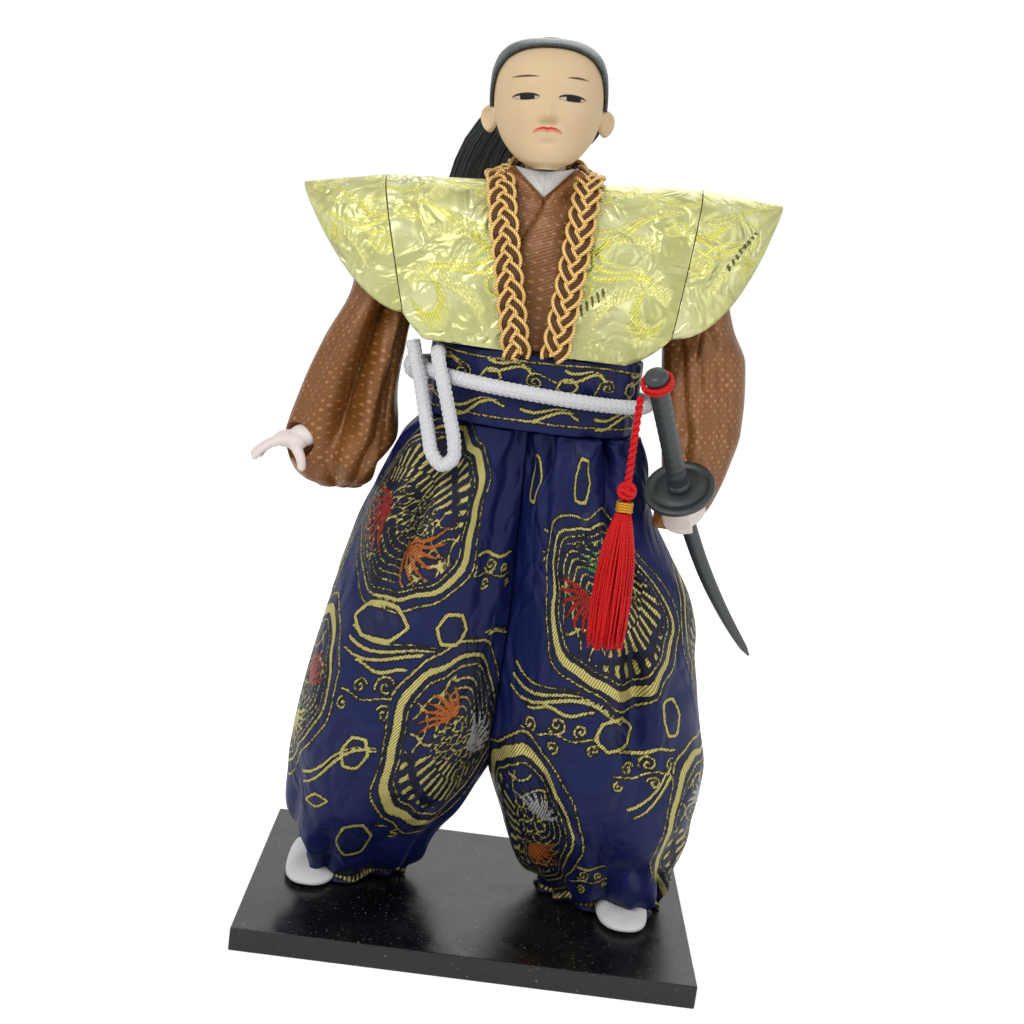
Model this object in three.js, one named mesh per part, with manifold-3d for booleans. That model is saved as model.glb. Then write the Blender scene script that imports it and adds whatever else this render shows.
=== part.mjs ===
import * as THREE from 'three';
import { mergeVertices } from 'three/addons/utils/BufferGeometryUtils.js';
import Module from 'manifold-3d';

// Samurai doll on a board: wire and padding figure in brocade clothes, with a sword in the left hand.
// Millimetres, +Z up. The doll faces -Y, so its left hand is on the +X side. Z = 0 is the table.

const wasm = await Module();
wasm.setup();

// Driving dimensions.
const boardWidth = 150;
const boardDepth = 100;
const boardThickness = 8;

const seatGap = 0.3; // between touching pieces
const clothThickness = 1.0;
const wireDiameter = 2.4;

const waistHeight = 180; // above the table, where the upper body leans from
const waistX = -1;
const leanDegrees = 4.5; // towards the doll's right

const bandBottom = 174;
const bandHeight = 24;
const bandHalfWidth = 34.5;
const bandHalfDepth = 25.5;
const bandThickness = 2;
const beltCordDiameter = 4.8;
const beltDrop = 11.7; // centre of the belt cord below the band's top edge

const crotchHeight = 58;
const legSplitX = -0.5;
const footLength = 34;
const footHeight = 10;
const rightFootX = -55.8;
const leftFootX = 52.3;
const rightFootTipY = -13.7;
const leftFootTipY = -18.7;

const chestHeight = 69.2; // top of the kimono's shoulders above the waist
const chestHalfWidth = 38;
const waistHalfWidth = 29.5;
const waistHalfDepth = 18.5;
const neckRadius = 6.5;
const neckSocketDepth = 11;
const dowelDiameter = 4;

const vestRise = 1.2; // top fold of the shoulder cloth above the kimono's shoulders
const vestRidge = chestHeight + vestRise;
const vestDepth = 24.2; // front of the shoulder cloth from the body's middle
const seamLowX = 42;
const seamHighX = 50;
const seamLowZ = 25;
const wingReach = 76;
const wingTipDrop = 3.5;
const braidWidth = 8.5;
const braidThickness = 3;

const headHeight = 39;
const headHalfWidth = 17.3;
const hairThickness = 1.1;
const ponytailWidth = 20;
const ponytailThickness = 6;

const gripLength = 49;
const gripDiameter = 6.3;
const guardDiameter = 22.5;
const guardThickness = 2;
const scabbardLength = 88;
const scabbardWidth = 5.2;
const scabbardThickness = 3.6;
const scabbardRadius = 330; // radius of its curve
const fistRadius = 6.6;

const tasselCordLength = 24.5;
const tasselCordDiameter = 2.4;
const tasselKnotDiameter = 6;
const tasselBandHeight = 3;
const tasselSkirtLength = 42;

// Materials.
function finish(color, roughness, metalness = 0) {
  return new THREE.MeshStandardMaterial({ color, roughness, metalness });
}

const blackLacquer = finish('#262628', 0.25);
const steelWire = finish('#8d9094', 0.4, 0.9);
const whiteCloth = finish('#e6e4de', 0.85);
const wadding = finish('#d8d2c4', 0.95);
const navyBrocade = finish('#222a62', 0.6);
const brownSatin = finish('#8a5028', 0.5);
const goldBrocade = finish('#d9dc8e', 0.45);
const goldBraid = finish('#c9993f', 0.5);
const whiteCord = finish('#e9e9ec', 0.8);
const skin = finish('#e0c6a0', 0.55);
const handSkin = finish('#e8dcd6', 0.6);
const blackHair = finish('#23282b', 0.45);
const greyPlastic = finish('#3b4144', 0.45);
const redThread = finish('#d81a1a', 0.6);
const goldThread = finish('#e0a820', 0.45);
const pineDowel = finish('#c9a878', 0.7);

// Shape helpers.

// Smooth curve through [position, value] pairs, flat beyond both ends.
function through(pairs) {
  const slope = pairs.map((pair, i) => {
    const before = pairs[Math.max(0, i - 1)];
    const after = pairs[Math.min(pairs.length - 1, i + 1)];
    const left = (pair[1] - before[1]) / (pair[0] - before[0] || 1);
    const right = (after[1] - pair[1]) / (after[0] - pair[0] || 1);
    if (left * right <= 0) return 0;
    return (2 * left * right) / (left + right);
  });
  return (position) => {
    if (position <= pairs[0][0]) return pairs[0][1];
    for (let i = 0; i < pairs.length - 1; i++) {
      const [start, from] = pairs[i];
      const [end, to] = pairs[i + 1];
      if (position > end) continue;
      const span = end - start;
      const t = (position - start) / span;
      const rise = slope[i] * span * t * (1 - t) * (1 - t);
      const fall = slope[i + 1] * span * t * t * (t - 1);
      return from + (to - from) * t * t * (3 - 2 * t) + rise + fall;
    }
    return pairs[pairs.length - 1][1];
  };
}

function mix(from, to, share) {
  return from + (to - from) * share;
}

function closedGeometry(positions, faces) {
  const geometry = new THREE.BufferGeometry();
  geometry.setAttribute('position', new THREE.Float32BufferAttribute(positions, 3));
  let volume = 0;
  const corner = (i) => new THREE.Vector3().fromArray(positions, 3 * i);
  for (let i = 0; i < faces.length; i += 3) {
    volume += corner(faces[i]).dot(corner(faces[i + 1]).cross(corner(faces[i + 2])));
  }
  const outward = volume > 0 ? faces : faces.slice().reverse();
  geometry.setIndex(outward);
  return geometry;
}

// Closed solid over rings of points, with a fan at each end.
function loft(rings) {
  const sides = rings[0].length;
  const positions = rings.flat().flatMap((p) => [p.x, p.y, p.z]);
  const faces = [];
  for (let i = 0; i < rings.length - 1; i++) {
    for (let j = 0; j < sides; j++) {
      const a = i * sides + j;
      const b = i * sides + ((j + 1) % sides);
      faces.push(a, b, b + sides, a, b + sides, a + sides);
    }
  }
  for (const end of [0, rings.length - 1]) {
    const middle = new THREE.Vector3();
    rings[end].forEach((p) => middle.addScaledVector(p, 1 / sides));
    const hub = positions.length / 3;
    positions.push(middle.x, middle.y, middle.z);
    for (let j = 0; j < sides; j++) {
      const a = end * sides + j;
      const b = end * sides + ((j + 1) % sides);
      faces.push(...(end === 0 ? [b, a, hub] : [a, b, hub]));
    }
  }
  return closedGeometry(positions, faces);
}

// Ring-shaped solid over sections of points, the last joined to the first.
function loop(sections) {
  const sides = sections[0].length;
  const positions = sections.flat().flatMap((p) => [p.x, p.y, p.z]);
  const faces = [];
  for (let i = 0; i < sections.length; i++) {
    const next = (i + 1) % sections.length;
    for (let j = 0; j < sides; j++) {
      const a = i * sides + j;
      const b = i * sides + ((j + 1) % sides);
      const c = next * sides + ((j + 1) % sides);
      const d = next * sides + j;
      faces.push(a, b, c, a, c, d);
    }
  }
  return closedGeometry(positions, faces);
}

// Level oval ring, rounder or squarer, with an optional ripple in and out.
function oval({ x = 0, y = 0, z, halfWidth, halfDepth, squareness = 2.2, sides = 24, ripple = () => 0 }) {
  return Array.from({ length: sides }, (_, i) => {
    const angle = (i / sides) * 2 * Math.PI;
    const power = 2 / squareness;
    const out = ripple(angle);
    const c = Math.cos(angle);
    const s = Math.sin(angle);
    return new THREE.Vector3(
      x + Math.sign(c) * Math.abs(c) ** power * halfWidth + c * out,
      y + Math.sign(s) * Math.abs(s) ** power * halfDepth + s * out,
      z,
    );
  });
}

// Sheet of even thickness on a surface(u, v).
function cloth(surface, columns, rows, thickness) {
  const step = 0.002;
  const side = (sign) => {
    const points = [];
    for (let i = 0; i <= columns; i++) {
      for (let j = 0; j <= rows; j++) {
        const u = i / columns;
        const v = j / rows;
        const alongU = surface(Math.min(1, u + step), v).sub(surface(Math.max(0, u - step), v));
        const alongV = surface(u, Math.min(1, v + step)).sub(surface(u, Math.max(0, v - step)));
        const normal = alongU.cross(alongV).normalize();
        points.push(surface(u, v).addScaledVector(normal, (sign * thickness) / 2));
      }
    }
    return points;
  };
  const front = side(1);
  const positions = [...front, ...side(-1)].flatMap((p) => [p.x, p.y, p.z]);
  const faces = [];
  const at = (i, j) => i * (rows + 1) + j;
  const quad = (a, b, c, d) => faces.push(a, b, c, a, c, d);
  const count = front.length;
  for (let i = 0; i < columns; i++) {
    for (let j = 0; j < rows; j++) {
      quad(at(i, j), at(i + 1, j), at(i + 1, j + 1), at(i, j + 1));
      quad(count + at(i, j), count + at(i, j + 1), count + at(i + 1, j + 1), count + at(i + 1, j));
    }
    quad(at(i, 0), count + at(i, 0), count + at(i + 1, 0), at(i + 1, 0));
    quad(at(i + 1, rows), count + at(i + 1, rows), count + at(i, rows), at(i, rows));
  }
  for (let j = 0; j < rows; j++) {
    quad(at(0, j + 1), count + at(0, j + 1), count + at(0, j), at(0, j));
    quad(at(columns, j), count + at(columns, j), count + at(columns, j + 1), at(columns, j + 1));
  }
  return closedGeometry(positions, faces);
}

function point(x, y, z) {
  return new THREE.Vector3(x, y, z);
}

// Round cord or wire along points.
function cordSolid(points, diameter, sides, steps) {
  const section = new THREE.Shape();
  for (let i = 0; i < sides; i++) {
    const angle = (i / sides) * 2 * Math.PI;
    const x = (Math.cos(angle) * diameter) / 2;
    const y = (Math.sin(angle) * diameter) / 2;
    if (i === 0) section.moveTo(x, y);
    else section.lineTo(x, y);
  }
  section.closePath();
  const path = new THREE.CatmullRomCurve3(points);
  return new THREE.ExtrudeGeometry(section, { steps, extrudePath: path });
}

function ball(centre, rx, ry, rz, across = 12, down = 8) {
  const geometry = new THREE.SphereGeometry(1, across, down);
  geometry.scale(rx, ry, rz);
  geometry.translate(centre.x, centre.y, centre.z);
  return geometry;
}

function block(from, to) {
  const size = to.clone().sub(from);
  const middle = to.clone().add(from).multiplyScalar(0.5);
  return new THREE.BoxGeometry(size.x, size.y, size.z).translate(middle.x, middle.y, middle.z);
}

// Boolean joins and cuts.
function toSolid(geometry) {
  const bare = geometry.clone();
  bare.deleteAttribute('normal');
  bare.deleteAttribute('uv');
  const merged = mergeVertices(bare, 1e-4);
  return new wasm.Manifold(
    new wasm.Mesh({
      numProp: 3,
      vertProperties: new Float32Array(merged.attributes.position.array),
      triVerts: new Uint32Array(merged.index.array),
    }),
  );
}

function toGeometry(solid) {
  const mesh = solid.getMesh();
  return closedGeometry(Array.from(mesh.vertProperties), Array.from(mesh.triVerts));
}

function join(...geometries) {
  return toGeometry(geometries.map(toSolid).reduce((whole, next) => whole.add(next)));
}

function cut(geometry, ...cutters) {
  return toGeometry(cutters.map(toSolid).reduce((whole, next) => whole.subtract(next), toSolid(geometry)));
}

function keepInside(geometry, region) {
  return toGeometry(toSolid(geometry).intersect(toSolid(region)));
}

// Groups: the whole doll, the leaning upper body, both arms, the sword and its tassel.
const doll = new THREE.Group();
const upperBody = new THREE.Group();
upperBody.position.set(waistX, 0, waistHeight);
upperBody.rotation.y = THREE.MathUtils.degToRad(-leanDegrees);
doll.add(upperBody);
upperBody.updateMatrixWorld(true);

function add(group, name, geometry, material) {
  const mesh = new THREE.Mesh(geometry, material);
  mesh.name = name;
  group.add(mesh);
  return mesh;
}

// A solid given in the table's frame, in the upper body's frame.
function asLeaning(geometry) {
  return geometry.clone().applyMatrix4(upperBody.matrixWorld.clone().invert());
}

// Board.
const boardTop = boardThickness;
const hipX = 16;
const hipY = 1;
const wireTop = waistHeight + 6;

function legWirePoints(footX, footY) {
  const side = Math.sign(footX);
  return [
    point(footX, footY, 1),
    point(mix(footX, side * hipX, 0.5), mix(footY, hipY, 0.5), mix(1, wireTop, 0.5)),
    point(side * hipX, hipY, wireTop),
  ];
}

// The wire enters each foot behind its middle.
const wireBehindTip = footLength * 0.72;
const rightWire = legWirePoints(rightFootX, rightFootTipY + wireBehindTip);
const leftWire = legWirePoints(leftFootX, leftFootTipY + wireBehindTip);
const wireBore = wireDiameter + 2 * seatGap;

function wireCutter(points) {
  const start = points[0].clone().sub(points[1]).setLength(8).add(points[0]);
  const end = points[2].clone().sub(points[1]).setLength(4).add(points[2]);
  return cordSolid([start, ...points, end], wireBore, 8, 12);
}

const boardBlock = block(
  point(-boardWidth / 2, -boardDepth / 2, 0),
  point(boardWidth / 2, boardDepth / 2, boardThickness),
);
add(doll, 'base_board', cut(boardBlock, wireCutter(rightWire), wireCutter(leftWire)), blackLacquer);
add(doll, 'leg_wire_right', cordSolid(rightWire, wireDiameter, 8, 8), steelWire);
add(doll, 'leg_wire_left', cordSolid(leftWire, wireDiameter, 8, 8), steelWire);

// Feet: white cloth socks, padded, flat underneath.
const footHalfWidth = 9;

function footSolid(x, tipY, grow) {
  const middle = point(x, tipY + footLength / 2, boardTop + seatGap);
  const whole = ball(middle, footHalfWidth + grow, footLength / 2 + grow, footHeight + grow, 14, 10);
  const floor = block(
    point(x - 2 * footHalfWidth, tipY - footLength, boardTop - 3 * footHeight),
    point(x + 2 * footHalfWidth, tipY + 2 * footLength, boardTop + seatGap - grow),
  );
  return cut(whole, floor);
}

add(doll, 'foot_right', cut(footSolid(rightFootX, rightFootTipY, 0), wireCutter(rightWire)), whiteCloth);
add(doll, 'foot_left', cut(footSolid(leftFootX, leftFootTipY, 0), wireCutter(leftWire)), whiteCloth);

// Hakama legs: puffed brocade over wadding, pinched at the hem. Heights are above the table.
const hemHeight = boardTop + seatGap;
const hakamaTop = bandBottom - seatGap;

const outerReach = {
  right: through([[10, 62], [21, 64], [32, 68.5], [45, 70.2], [60, 68.8], [80, 65.8], [111, 59], [135, 54.5],
    [150, 48.5], [163, 42], [174, 36]]),
  left: through([[10, 66], [18, 70], [30, 73], [48, 75.2], [61, 75.5], [75, 72.7], [106, 65.2], [122, 59.3],
    [136, 49.8], [150, 41], [163, 37.5], [174, 34.5]]),
};
const innerReach = {
  right: through([[10, 26], [20, 18], [30, 12], [45, 4.5], [crotchHeight, -1], [80, -6], [174, -6]]),
  left: through([[10, 23], [20, 16], [34, 9], [47, 3.5], [crotchHeight, -1], [80, -6], [174, -6]]),
};
const legMiddleY = through([[10, 10], [25, 7], [45, 3], [80, 1], [174, 0]]);
const legHalfDepth = through([[10, 11], [16, 15], [28, 23], [45, 29], [70, 31.5], [105, 30], [140, 27.5],
  [174, 24.5]]);

// Main folds of each leg: angle round the leg from +X, depth, width and the heights they run between.
const legFolds = {
  right: [
    { at: 250, depth: 4.5, width: 13, low: 70, high: 174 },
    { at: 300, depth: 3.5, width: 12, low: 95, high: 174 },
    { at: 214, depth: 3.5, width: 14, low: 10, high: 60 },
    { at: 275, depth: 3.0, width: 16, low: 10, high: 48 },
    { at: 322, depth: 3.0, width: 12, low: 10, high: 70 },
    { at: 120, depth: 3.5, width: 14, low: 60, high: 174 },
    { at: 68, depth: 3.5, width: 14, low: 10, high: 120 },
    { at: 165, depth: 2.5, width: 14, low: 10, high: 55 },
  ],
  left: [
    { at: 286, depth: 4.5, width: 12, low: 90, high: 174 },
    { at: 326, depth: 4.0, width: 13, low: 60, high: 174 },
    { at: 240, depth: 3.0, width: 13, low: 10, high: 80 },
    { at: 275, depth: 3.5, width: 15, low: 10, high: 50 },
    { at: 318, depth: 3.0, width: 13, low: 10, high: 45 },
    { at: 60, depth: 3.5, width: 14, low: 60, high: 174 },
    { at: 112, depth: 3.5, width: 14, low: 10, high: 120 },
    { at: 15, depth: 2.5, width: 14, low: 10, high: 60 },
  ],
};

function foldDepth(folds, angle, height) {
  const degrees = THREE.MathUtils.radToDeg(angle);
  let inward = 0;
  for (const fold of folds) {
    const away = Math.abs(((degrees - fold.at + 540) % 360) - 180) / fold.width;
    const along = (height - fold.low) / (fold.high - fold.low);
    if (along < 0 || along > 1) continue;
    const fadeLow = fold.low > 10 ? Math.min(1, 3 * along) : 1;
    const fadeHigh = fold.high < 174 ? Math.min(1, 3 * (1 - along)) : 1;
    inward += fold.depth * Math.exp(-away * away) * fadeLow * fadeHigh;
  }
  return -inward;
}

const hakamaSides = 32;
const hakamaRings = 20;

function hakamaLeg(side, sign) {
  const rings = Array.from({ length: hakamaRings + 1 }, (_, i) => {
    const share = i / hakamaRings;
    const height = mix(hemHeight, hakamaTop, share);
    const outer = sign * outerReach[side](height);
    const inner = sign * innerReach[side](height);
    return oval({
      x: (outer + inner) / 2,
      y: legMiddleY(height),
      z: height,
      halfWidth: Math.abs(outer - inner) / 2,
      halfDepth: legHalfDepth(height),
      squareness: 2.3,
      sides: hakamaSides,
      ripple: (angle) => foldDepth(legFolds[side], angle, height),
    });
  });
  return loft(rings);
}

const farAway = 3 * boardWidth;
const lowCorner = point(-farAway, -farAway, -farAway);
const highCorner = point(farAway, farAway, farAway);
const rightHalf = block(lowCorner, point(legSplitX - seatGap / 2, farAway, farAway));
const leftHalf = block(point(legSplitX + seatGap / 2, -farAway, -farAway), highCorner);

add(doll, 'hakama_leg_right', cut(
  keepInside(hakamaLeg('right', -1), rightHalf),
  footSolid(rightFootX, rightFootTipY, seatGap),
  wireCutter(rightWire),
), navyBrocade);
add(doll, 'hakama_leg_left', cut(
  keepInside(hakamaLeg('left', 1), leftHalf),
  footSolid(leftFootX, leftFootTipY, seatGap),
  wireCutter(leftWire),
), navyBrocade);

// Waistband of the hakama, round the kimono.
const bandTop = bandBottom + bandHeight;
const bandSquareness = 2.2;
const bandMiddleX = waistX - 0.5;

function bandRing(z, inset) {
  return oval({
    x: bandMiddleX,
    z,
    halfWidth: bandHalfWidth - inset,
    halfDepth: bandHalfDepth - inset,
    squareness: bandSquareness,
    sides: 36,
  });
}

const bandInner = loft([bandRing(bandBottom - 1, bandThickness), bandRing(bandTop + 1, bandThickness)]);
add(doll, 'waistband', cut(loft([bandRing(bandBottom, 0), bandRing(bandTop, 0)]), bandInner), navyBrocade);

// White belt cord round the band, tied at the doll's right, with its hanging loop.
const beltHeight = bandTop - beltDrop;
const beltSlope = 0.05; // it sits a little lower at the doll's left
const beltLift = beltCordDiameter / 2 + 2 * seatGap;
const beltRadiusX = bandHalfWidth + beltLift;
const beltRadiusY = bandHalfDepth + beltLift;
const knotAngle = THREE.MathUtils.degToRad(196);
const knotRadius = 4.3;
const knotHalfAngle = (knotRadius + 2 * seatGap) / beltRadiusY;
const knotOut = knotRadius - beltCordDiameter / 2; // the knot stands proud of the cord

function beltPoint(angle, out = 0) {
  const power = 2 / bandSquareness;
  const c = Math.cos(angle);
  const s = Math.sin(angle);
  const x = bandMiddleX + Math.sign(c) * Math.abs(c) ** power * (beltRadiusX + out);
  const y = Math.sign(s) * Math.abs(s) ** power * (beltRadiusY + out);
  return point(x, y, beltHeight - beltSlope * x);
}

const beltTurns = Array.from({ length: 33 }, (_, i) => {
  const sweep = 2 * Math.PI - 2 * knotHalfAngle;
  return beltPoint(knotAngle + knotHalfAngle + (sweep * i) / 32);
});
add(doll, 'belt_cord', cordSolid(beltTurns, beltCordDiameter, 8, 34), whiteCord);
const knotMiddle = beltPoint(knotAngle, knotOut);
add(doll, 'belt_knot', ball(knotMiddle, knotRadius, knotRadius, knotRadius, 12, 8), whiteCord);

// Hanging loop of the belt cord: from its cut end, down, round the bight and up to the knot.
const beltLoopPoints = [
  point(-41.2, -15.0, 196.6),
  point(-39.6, -16.6, 191.5),
  point(-37.0, -19.2, 184.5),
  point(-34.6, -22.4, 176.5),
  point(-32.2, -25.2, 168.5),
  point(-30.4, -26.8, 163.4),
  point(-27.0, -27.8, 160.6),
  point(-23.8, -28.2, 163.0),
  point(-24.0, -28.0, 168.0),
  point(-26.4, -27.0, 176.0),
  point(-29.0, -26.6, 184.0),
  point(-31.0, -26.0, 189.6),
  point(-32.3, -24.0, 193.6),
  point(-32.7, -20.0, 195.0),
  point(-32.4, -15.4, 194.2),
];
const beltLoopDiameter = 4.6;
add(doll, 'belt_loop', cordSolid(beltLoopPoints, beltLoopDiameter, 8, 30), whiteCord);

// Upper body, in its own frame: Z = 0 at the waist.

// Half depth and half width of the kimono at each height above the waist.
const chestDepth = through([
  [-3, waistHalfDepth],
  [20, waistHalfDepth],
  [45, waistHalfDepth * 0.865],
  [chestHeight - 11, waistHalfDepth * 0.675],
  [chestHeight - 4, waistHalfDepth * 0.46],
  [chestHeight - 1.2, waistHalfDepth * 0.27],
  [chestHeight, 1.5],
]);
const chestWidth = through([
  [-3, waistHalfWidth],
  [22, waistHalfWidth + 0.5],
  [45, chestHalfWidth - 3],
  [chestHeight - 11, chestHalfWidth],
  [chestHeight - 4, chestHalfWidth - 1],
  [chestHeight - 1.2, chestHalfWidth - 4],
  [chestHeight, chestHalfWidth - 8],
]);
const chestSquareness = 2.4;
const kimonoBottom = -2.5;
const coreInset = 4;
const coreTop = 52;

function chestRing(z, inset) {
  return oval({
    z,
    halfWidth: chestWidth(z) - inset,
    halfDepth: chestDepth(z) - inset,
    squareness: chestSquareness,
    sides: 18,
  });
}

function chestLoft(low, high, inset, steps) {
  return loft(Array.from({ length: steps + 1 }, (_, i) => chestRing(mix(low, high, i / steps), inset)));
}

const dowelBottom = 34;
const dowelTop = chestHeight + 18;
const neckBottom = chestHeight - neckSocketDepth;

function roundBar(radius, low, high, sides = 16) {
  const bar = new THREE.CylinderGeometry(radius, radius, high - low, sides);
  return bar.rotateX(Math.PI / 2).translate(0, 0, (low + high) / 2);
}

const dowelBore = roundBar(dowelDiameter / 2 + seatGap, dowelBottom - seatGap, dowelTop + seatGap);
const shoulderWireReach = chestHalfWidth - 1.5;
const shoulderWireZ = 48;

function shoulderBar(diameter, reach) {
  const bar = new THREE.CylinderGeometry(diameter / 2, diameter / 2, 2 * reach, 8);
  return bar.rotateZ(Math.PI / 2).translate(0, 0, 0);
}

const shoulderWireY = 5;
const shoulderWire = shoulderBar(wireDiameter, shoulderWireReach).translate(0, shoulderWireY, shoulderWireZ);
const shoulderBore = shoulderBar(wireBore, chestHalfWidth + 4).translate(0, shoulderWireY, shoulderWireZ);
const coreSolid = chestLoft(kimonoBottom, coreTop, coreInset, 4);

add(upperBody, 'torso_core', cut(
  coreSolid,
  dowelBore,
  shoulderBore,
  asLeaning(wireCutter(rightWire)),
  asLeaning(wireCutter(leftWire)),
), wadding);
add(upperBody, 'shoulder_wire', shoulderWire, steelWire);
add(upperBody, 'neck_dowel', roundBar(dowelDiameter / 2, dowelBottom, dowelTop), pineDowel);

const coreRoom = chestLoft(kimonoBottom - 1, coreTop + seatGap, coreInset - seatGap, 4);
const neckSocket = roundBar(neckRadius + seatGap, neckBottom - seatGap, chestHeight + 2, 16);
add(upperBody, 'kimono_body', cut(
  chestLoft(kimonoBottom, chestHeight, 0, 9),
  coreRoom,
  neckSocket,
  dowelBore,
  shoulderBore,
), brownSatin);

// Kimono lapels: flat bands crossing over the chest, the doll's left one on top.
const lapelWidth = 9;
const lapelTopZ = chestHeight - 5.6;
const lapelBottomZ = 19;

// The lapels lie over both collars near the neck.
const collarRoom = through([[52, 0], [60, clothThickness + 4 * seatGap]]);

function lapelSurface(side, offset) {
  const middleX = through([
    [lapelBottomZ, -side * 5.5],
    [44, -side * 3],
    [54, -side * 1],
    [60, side * 2.6],
    [lapelTopZ, side * 6],
  ]);
  return (u, v) => {
    const z = mix(lapelBottomZ, lapelTopZ, v);
    const lean = (middleX(z + 1) - middleX(z - 1)) / 2;
    const across = (u - 0.5) * lapelWidth;
    const x = middleX(z) + across;
    const height = z - across * lean * 0.5;
    const reach = chestDepth(Math.min(height, lapelTopZ));
    const sideways = Math.abs(x / chestWidth(z)) ** chestSquareness;
    const rounding = Math.max(0, 1 - sideways) ** (1 / chestSquareness);
    return point(x, -(reach * rounding + offset + collarRoom(height)), height);
  };
}

const lapelLift = clothThickness / 2 + seatGap + 0.2;
add(upperBody, 'kimono_lapel_right', cloth(lapelSurface(-1, lapelLift), 3, 14, clothThickness), brownSatin);
add(
  upperBody,
  'kimono_lapel_left',
  cloth(lapelSurface(1, lapelLift + clothThickness + seatGap + 0.4), 3, 14, clothThickness),
  brownSatin,
);

const chinZ = chestHeight + 5.4;

// Two bands round the neck, low at the throat: the white inner collar, and the kimono's own collar
// outside it, which opens in a V.
const collarRadius = neckRadius + 2.6;
const kimonoCollarRadius = collarRadius + clothThickness + seatGap;
const collarTop = chinZ - 0.5;
const collarOpening = chestHeight - 3;

function neckBand(radius, topAt) {
  return loop(Array.from({ length: 28 }, (_, i) => {
    const angle = (i / 28) * 2 * Math.PI;
    const front = Math.max(0, Math.cos(angle));
    const bottom = chestHeight + seatGap - 5.4 * front ** 2;
    const top = topAt(angle);
    const half = clothThickness / 2;
    const at = (grow, z) => point(
      Math.sin(angle) * (radius + grow),
      -0.5 - Math.cos(angle) * (radius + grow),
      z,
    );
    return [at(-half, bottom), at(half, bottom), at(half, top), at(-half, top)];
  }));
}

add(upperBody, 'inner_collar', neckBand(
  collarRadius,
  (angle) => collarTop + 3.3 * Math.max(0, -Math.cos(angle)),
), whiteCloth);
add(upperBody, 'kimono_collar', neckBand(
  kimonoCollarRadius,
  (angle) => (Math.cos(angle) > 0 ? mix(collarOpening, collarTop, Math.abs(Math.sin(angle))) : collarTop),
), brownSatin);

// Shoulder cloth (kataginu): each half runs from the front waist over the shoulder to the back,
// and a stiff wing continues it outwards. Both are arches in the Y-Z plane.
const archPower = 2 / 2.8;
const vestBackDepth = 20;

function archPoint(x, round, bottomZ, ridgeZ, frontDepth, backDepth) {
  const phi = round * Math.PI;
  const rise = Math.sin(phi) ** archPower;
  const run = Math.sign(Math.cos(phi)) * Math.abs(Math.cos(phi)) ** archPower;
  const depth = run > 0 ? frontDepth : backDepth;
  return point(x, -run * depth, mix(bottomZ, ridgeZ, rise));
}

function archRise(round) {
  return Math.sin(round * Math.PI) ** archPower;
}

const braidLowX = 5.3;
const braidHighX = 14;
const edgeUnderBraid = 2;

function vestInnerX(round) {
  const rise = archRise(round);
  if (round <= 0.5) return mix(braidLowX, braidHighX, rise) - edgeUnderBraid;
  const neckline = THREE.MathUtils.smoothstep(rise, 0.8, 1);
  return mix(seatGap / 2, braidHighX - edgeUnderBraid, neckline);
}

function seamX(round) {
  return mix(seamLowX, seamHighX, archRise(round));
}

const vestBottom = 14;
const vestSideDepth = 21;
const vestSideBackDepth = 17.5;

function vestSurface(side) {
  return (u, v) => {
    const inner = vestInnerX(v);
    const x = mix(inner, seamX(v) - seatGap / 2, u);
    const outward = Math.min(1, x / seamLowX) ** 2;
    const bottom = mix(vestBottom, seamLowZ, outward ** 2);
    return archPoint(
      side * x,
      v,
      bottom,
      vestRidge,
      mix(vestDepth, vestSideDepth, outward),
      mix(vestBackDepth, vestSideBackDepth, outward),
    );
  };
}

function wingSurface(side) {
  return (u, v) => {
    const reach = mix(seamX(v) + seatGap / 2, wingReach - (1 - archRise(v)) * 0.8, u);
    const closing = 1 - 0.93 * u ** 2.4;
    return archPoint(
      side * reach,
      v,
      mix(seamLowZ, vestRidge - wingTipDrop - 3, u ** 2.2),
      vestRidge - wingTipDrop * u,
      vestSideDepth * closing,
      vestSideBackDepth * closing,
    );
  };
}

const belowBand = asLeaning(block(lowCorner, point(farAway, farAway, bandTop + seatGap)));
for (const [name, side] of [['right', -1], ['left', 1]]) {
  const vest = cut(cloth(vestSurface(side), 6, 18, clothThickness), belowBand);
  add(upperBody, `kataginu_${name}`, vest, goldBrocade);
  add(upperBody, `shoulder_wing_${name}`, cloth(wingSurface(side), 5, 18, clothThickness), goldBrocade);
}

// Braid along both front edges and round the back of the neck.
function braidSpine(round) {
  const x = mix(braidLowX, braidHighX, archRise(round));
  const outward = (x / seamLowX) ** 2;
  const depth = mix(vestDepth, vestSideDepth, outward);
  const at = (turn) => archPoint(x, turn, vestBottom, vestRidge, depth, depth);
  const along = at(Math.min(1, round + 0.01)).sub(at(Math.max(0, round - 0.01)));
  const normal = point(0, along.z, -along.y).normalize();
  if (normal.y > 0) normal.negate();
  const lift = clothThickness / 2 + seatGap + braidThickness / 2 + 0.4;
  return { place: at(round).addScaledVector(normal, lift), normal };
}

const braidBackY = 13.6;
const braidBackZ = vestRidge + 4.6;
const braidFrontStart = 0.006;

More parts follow.
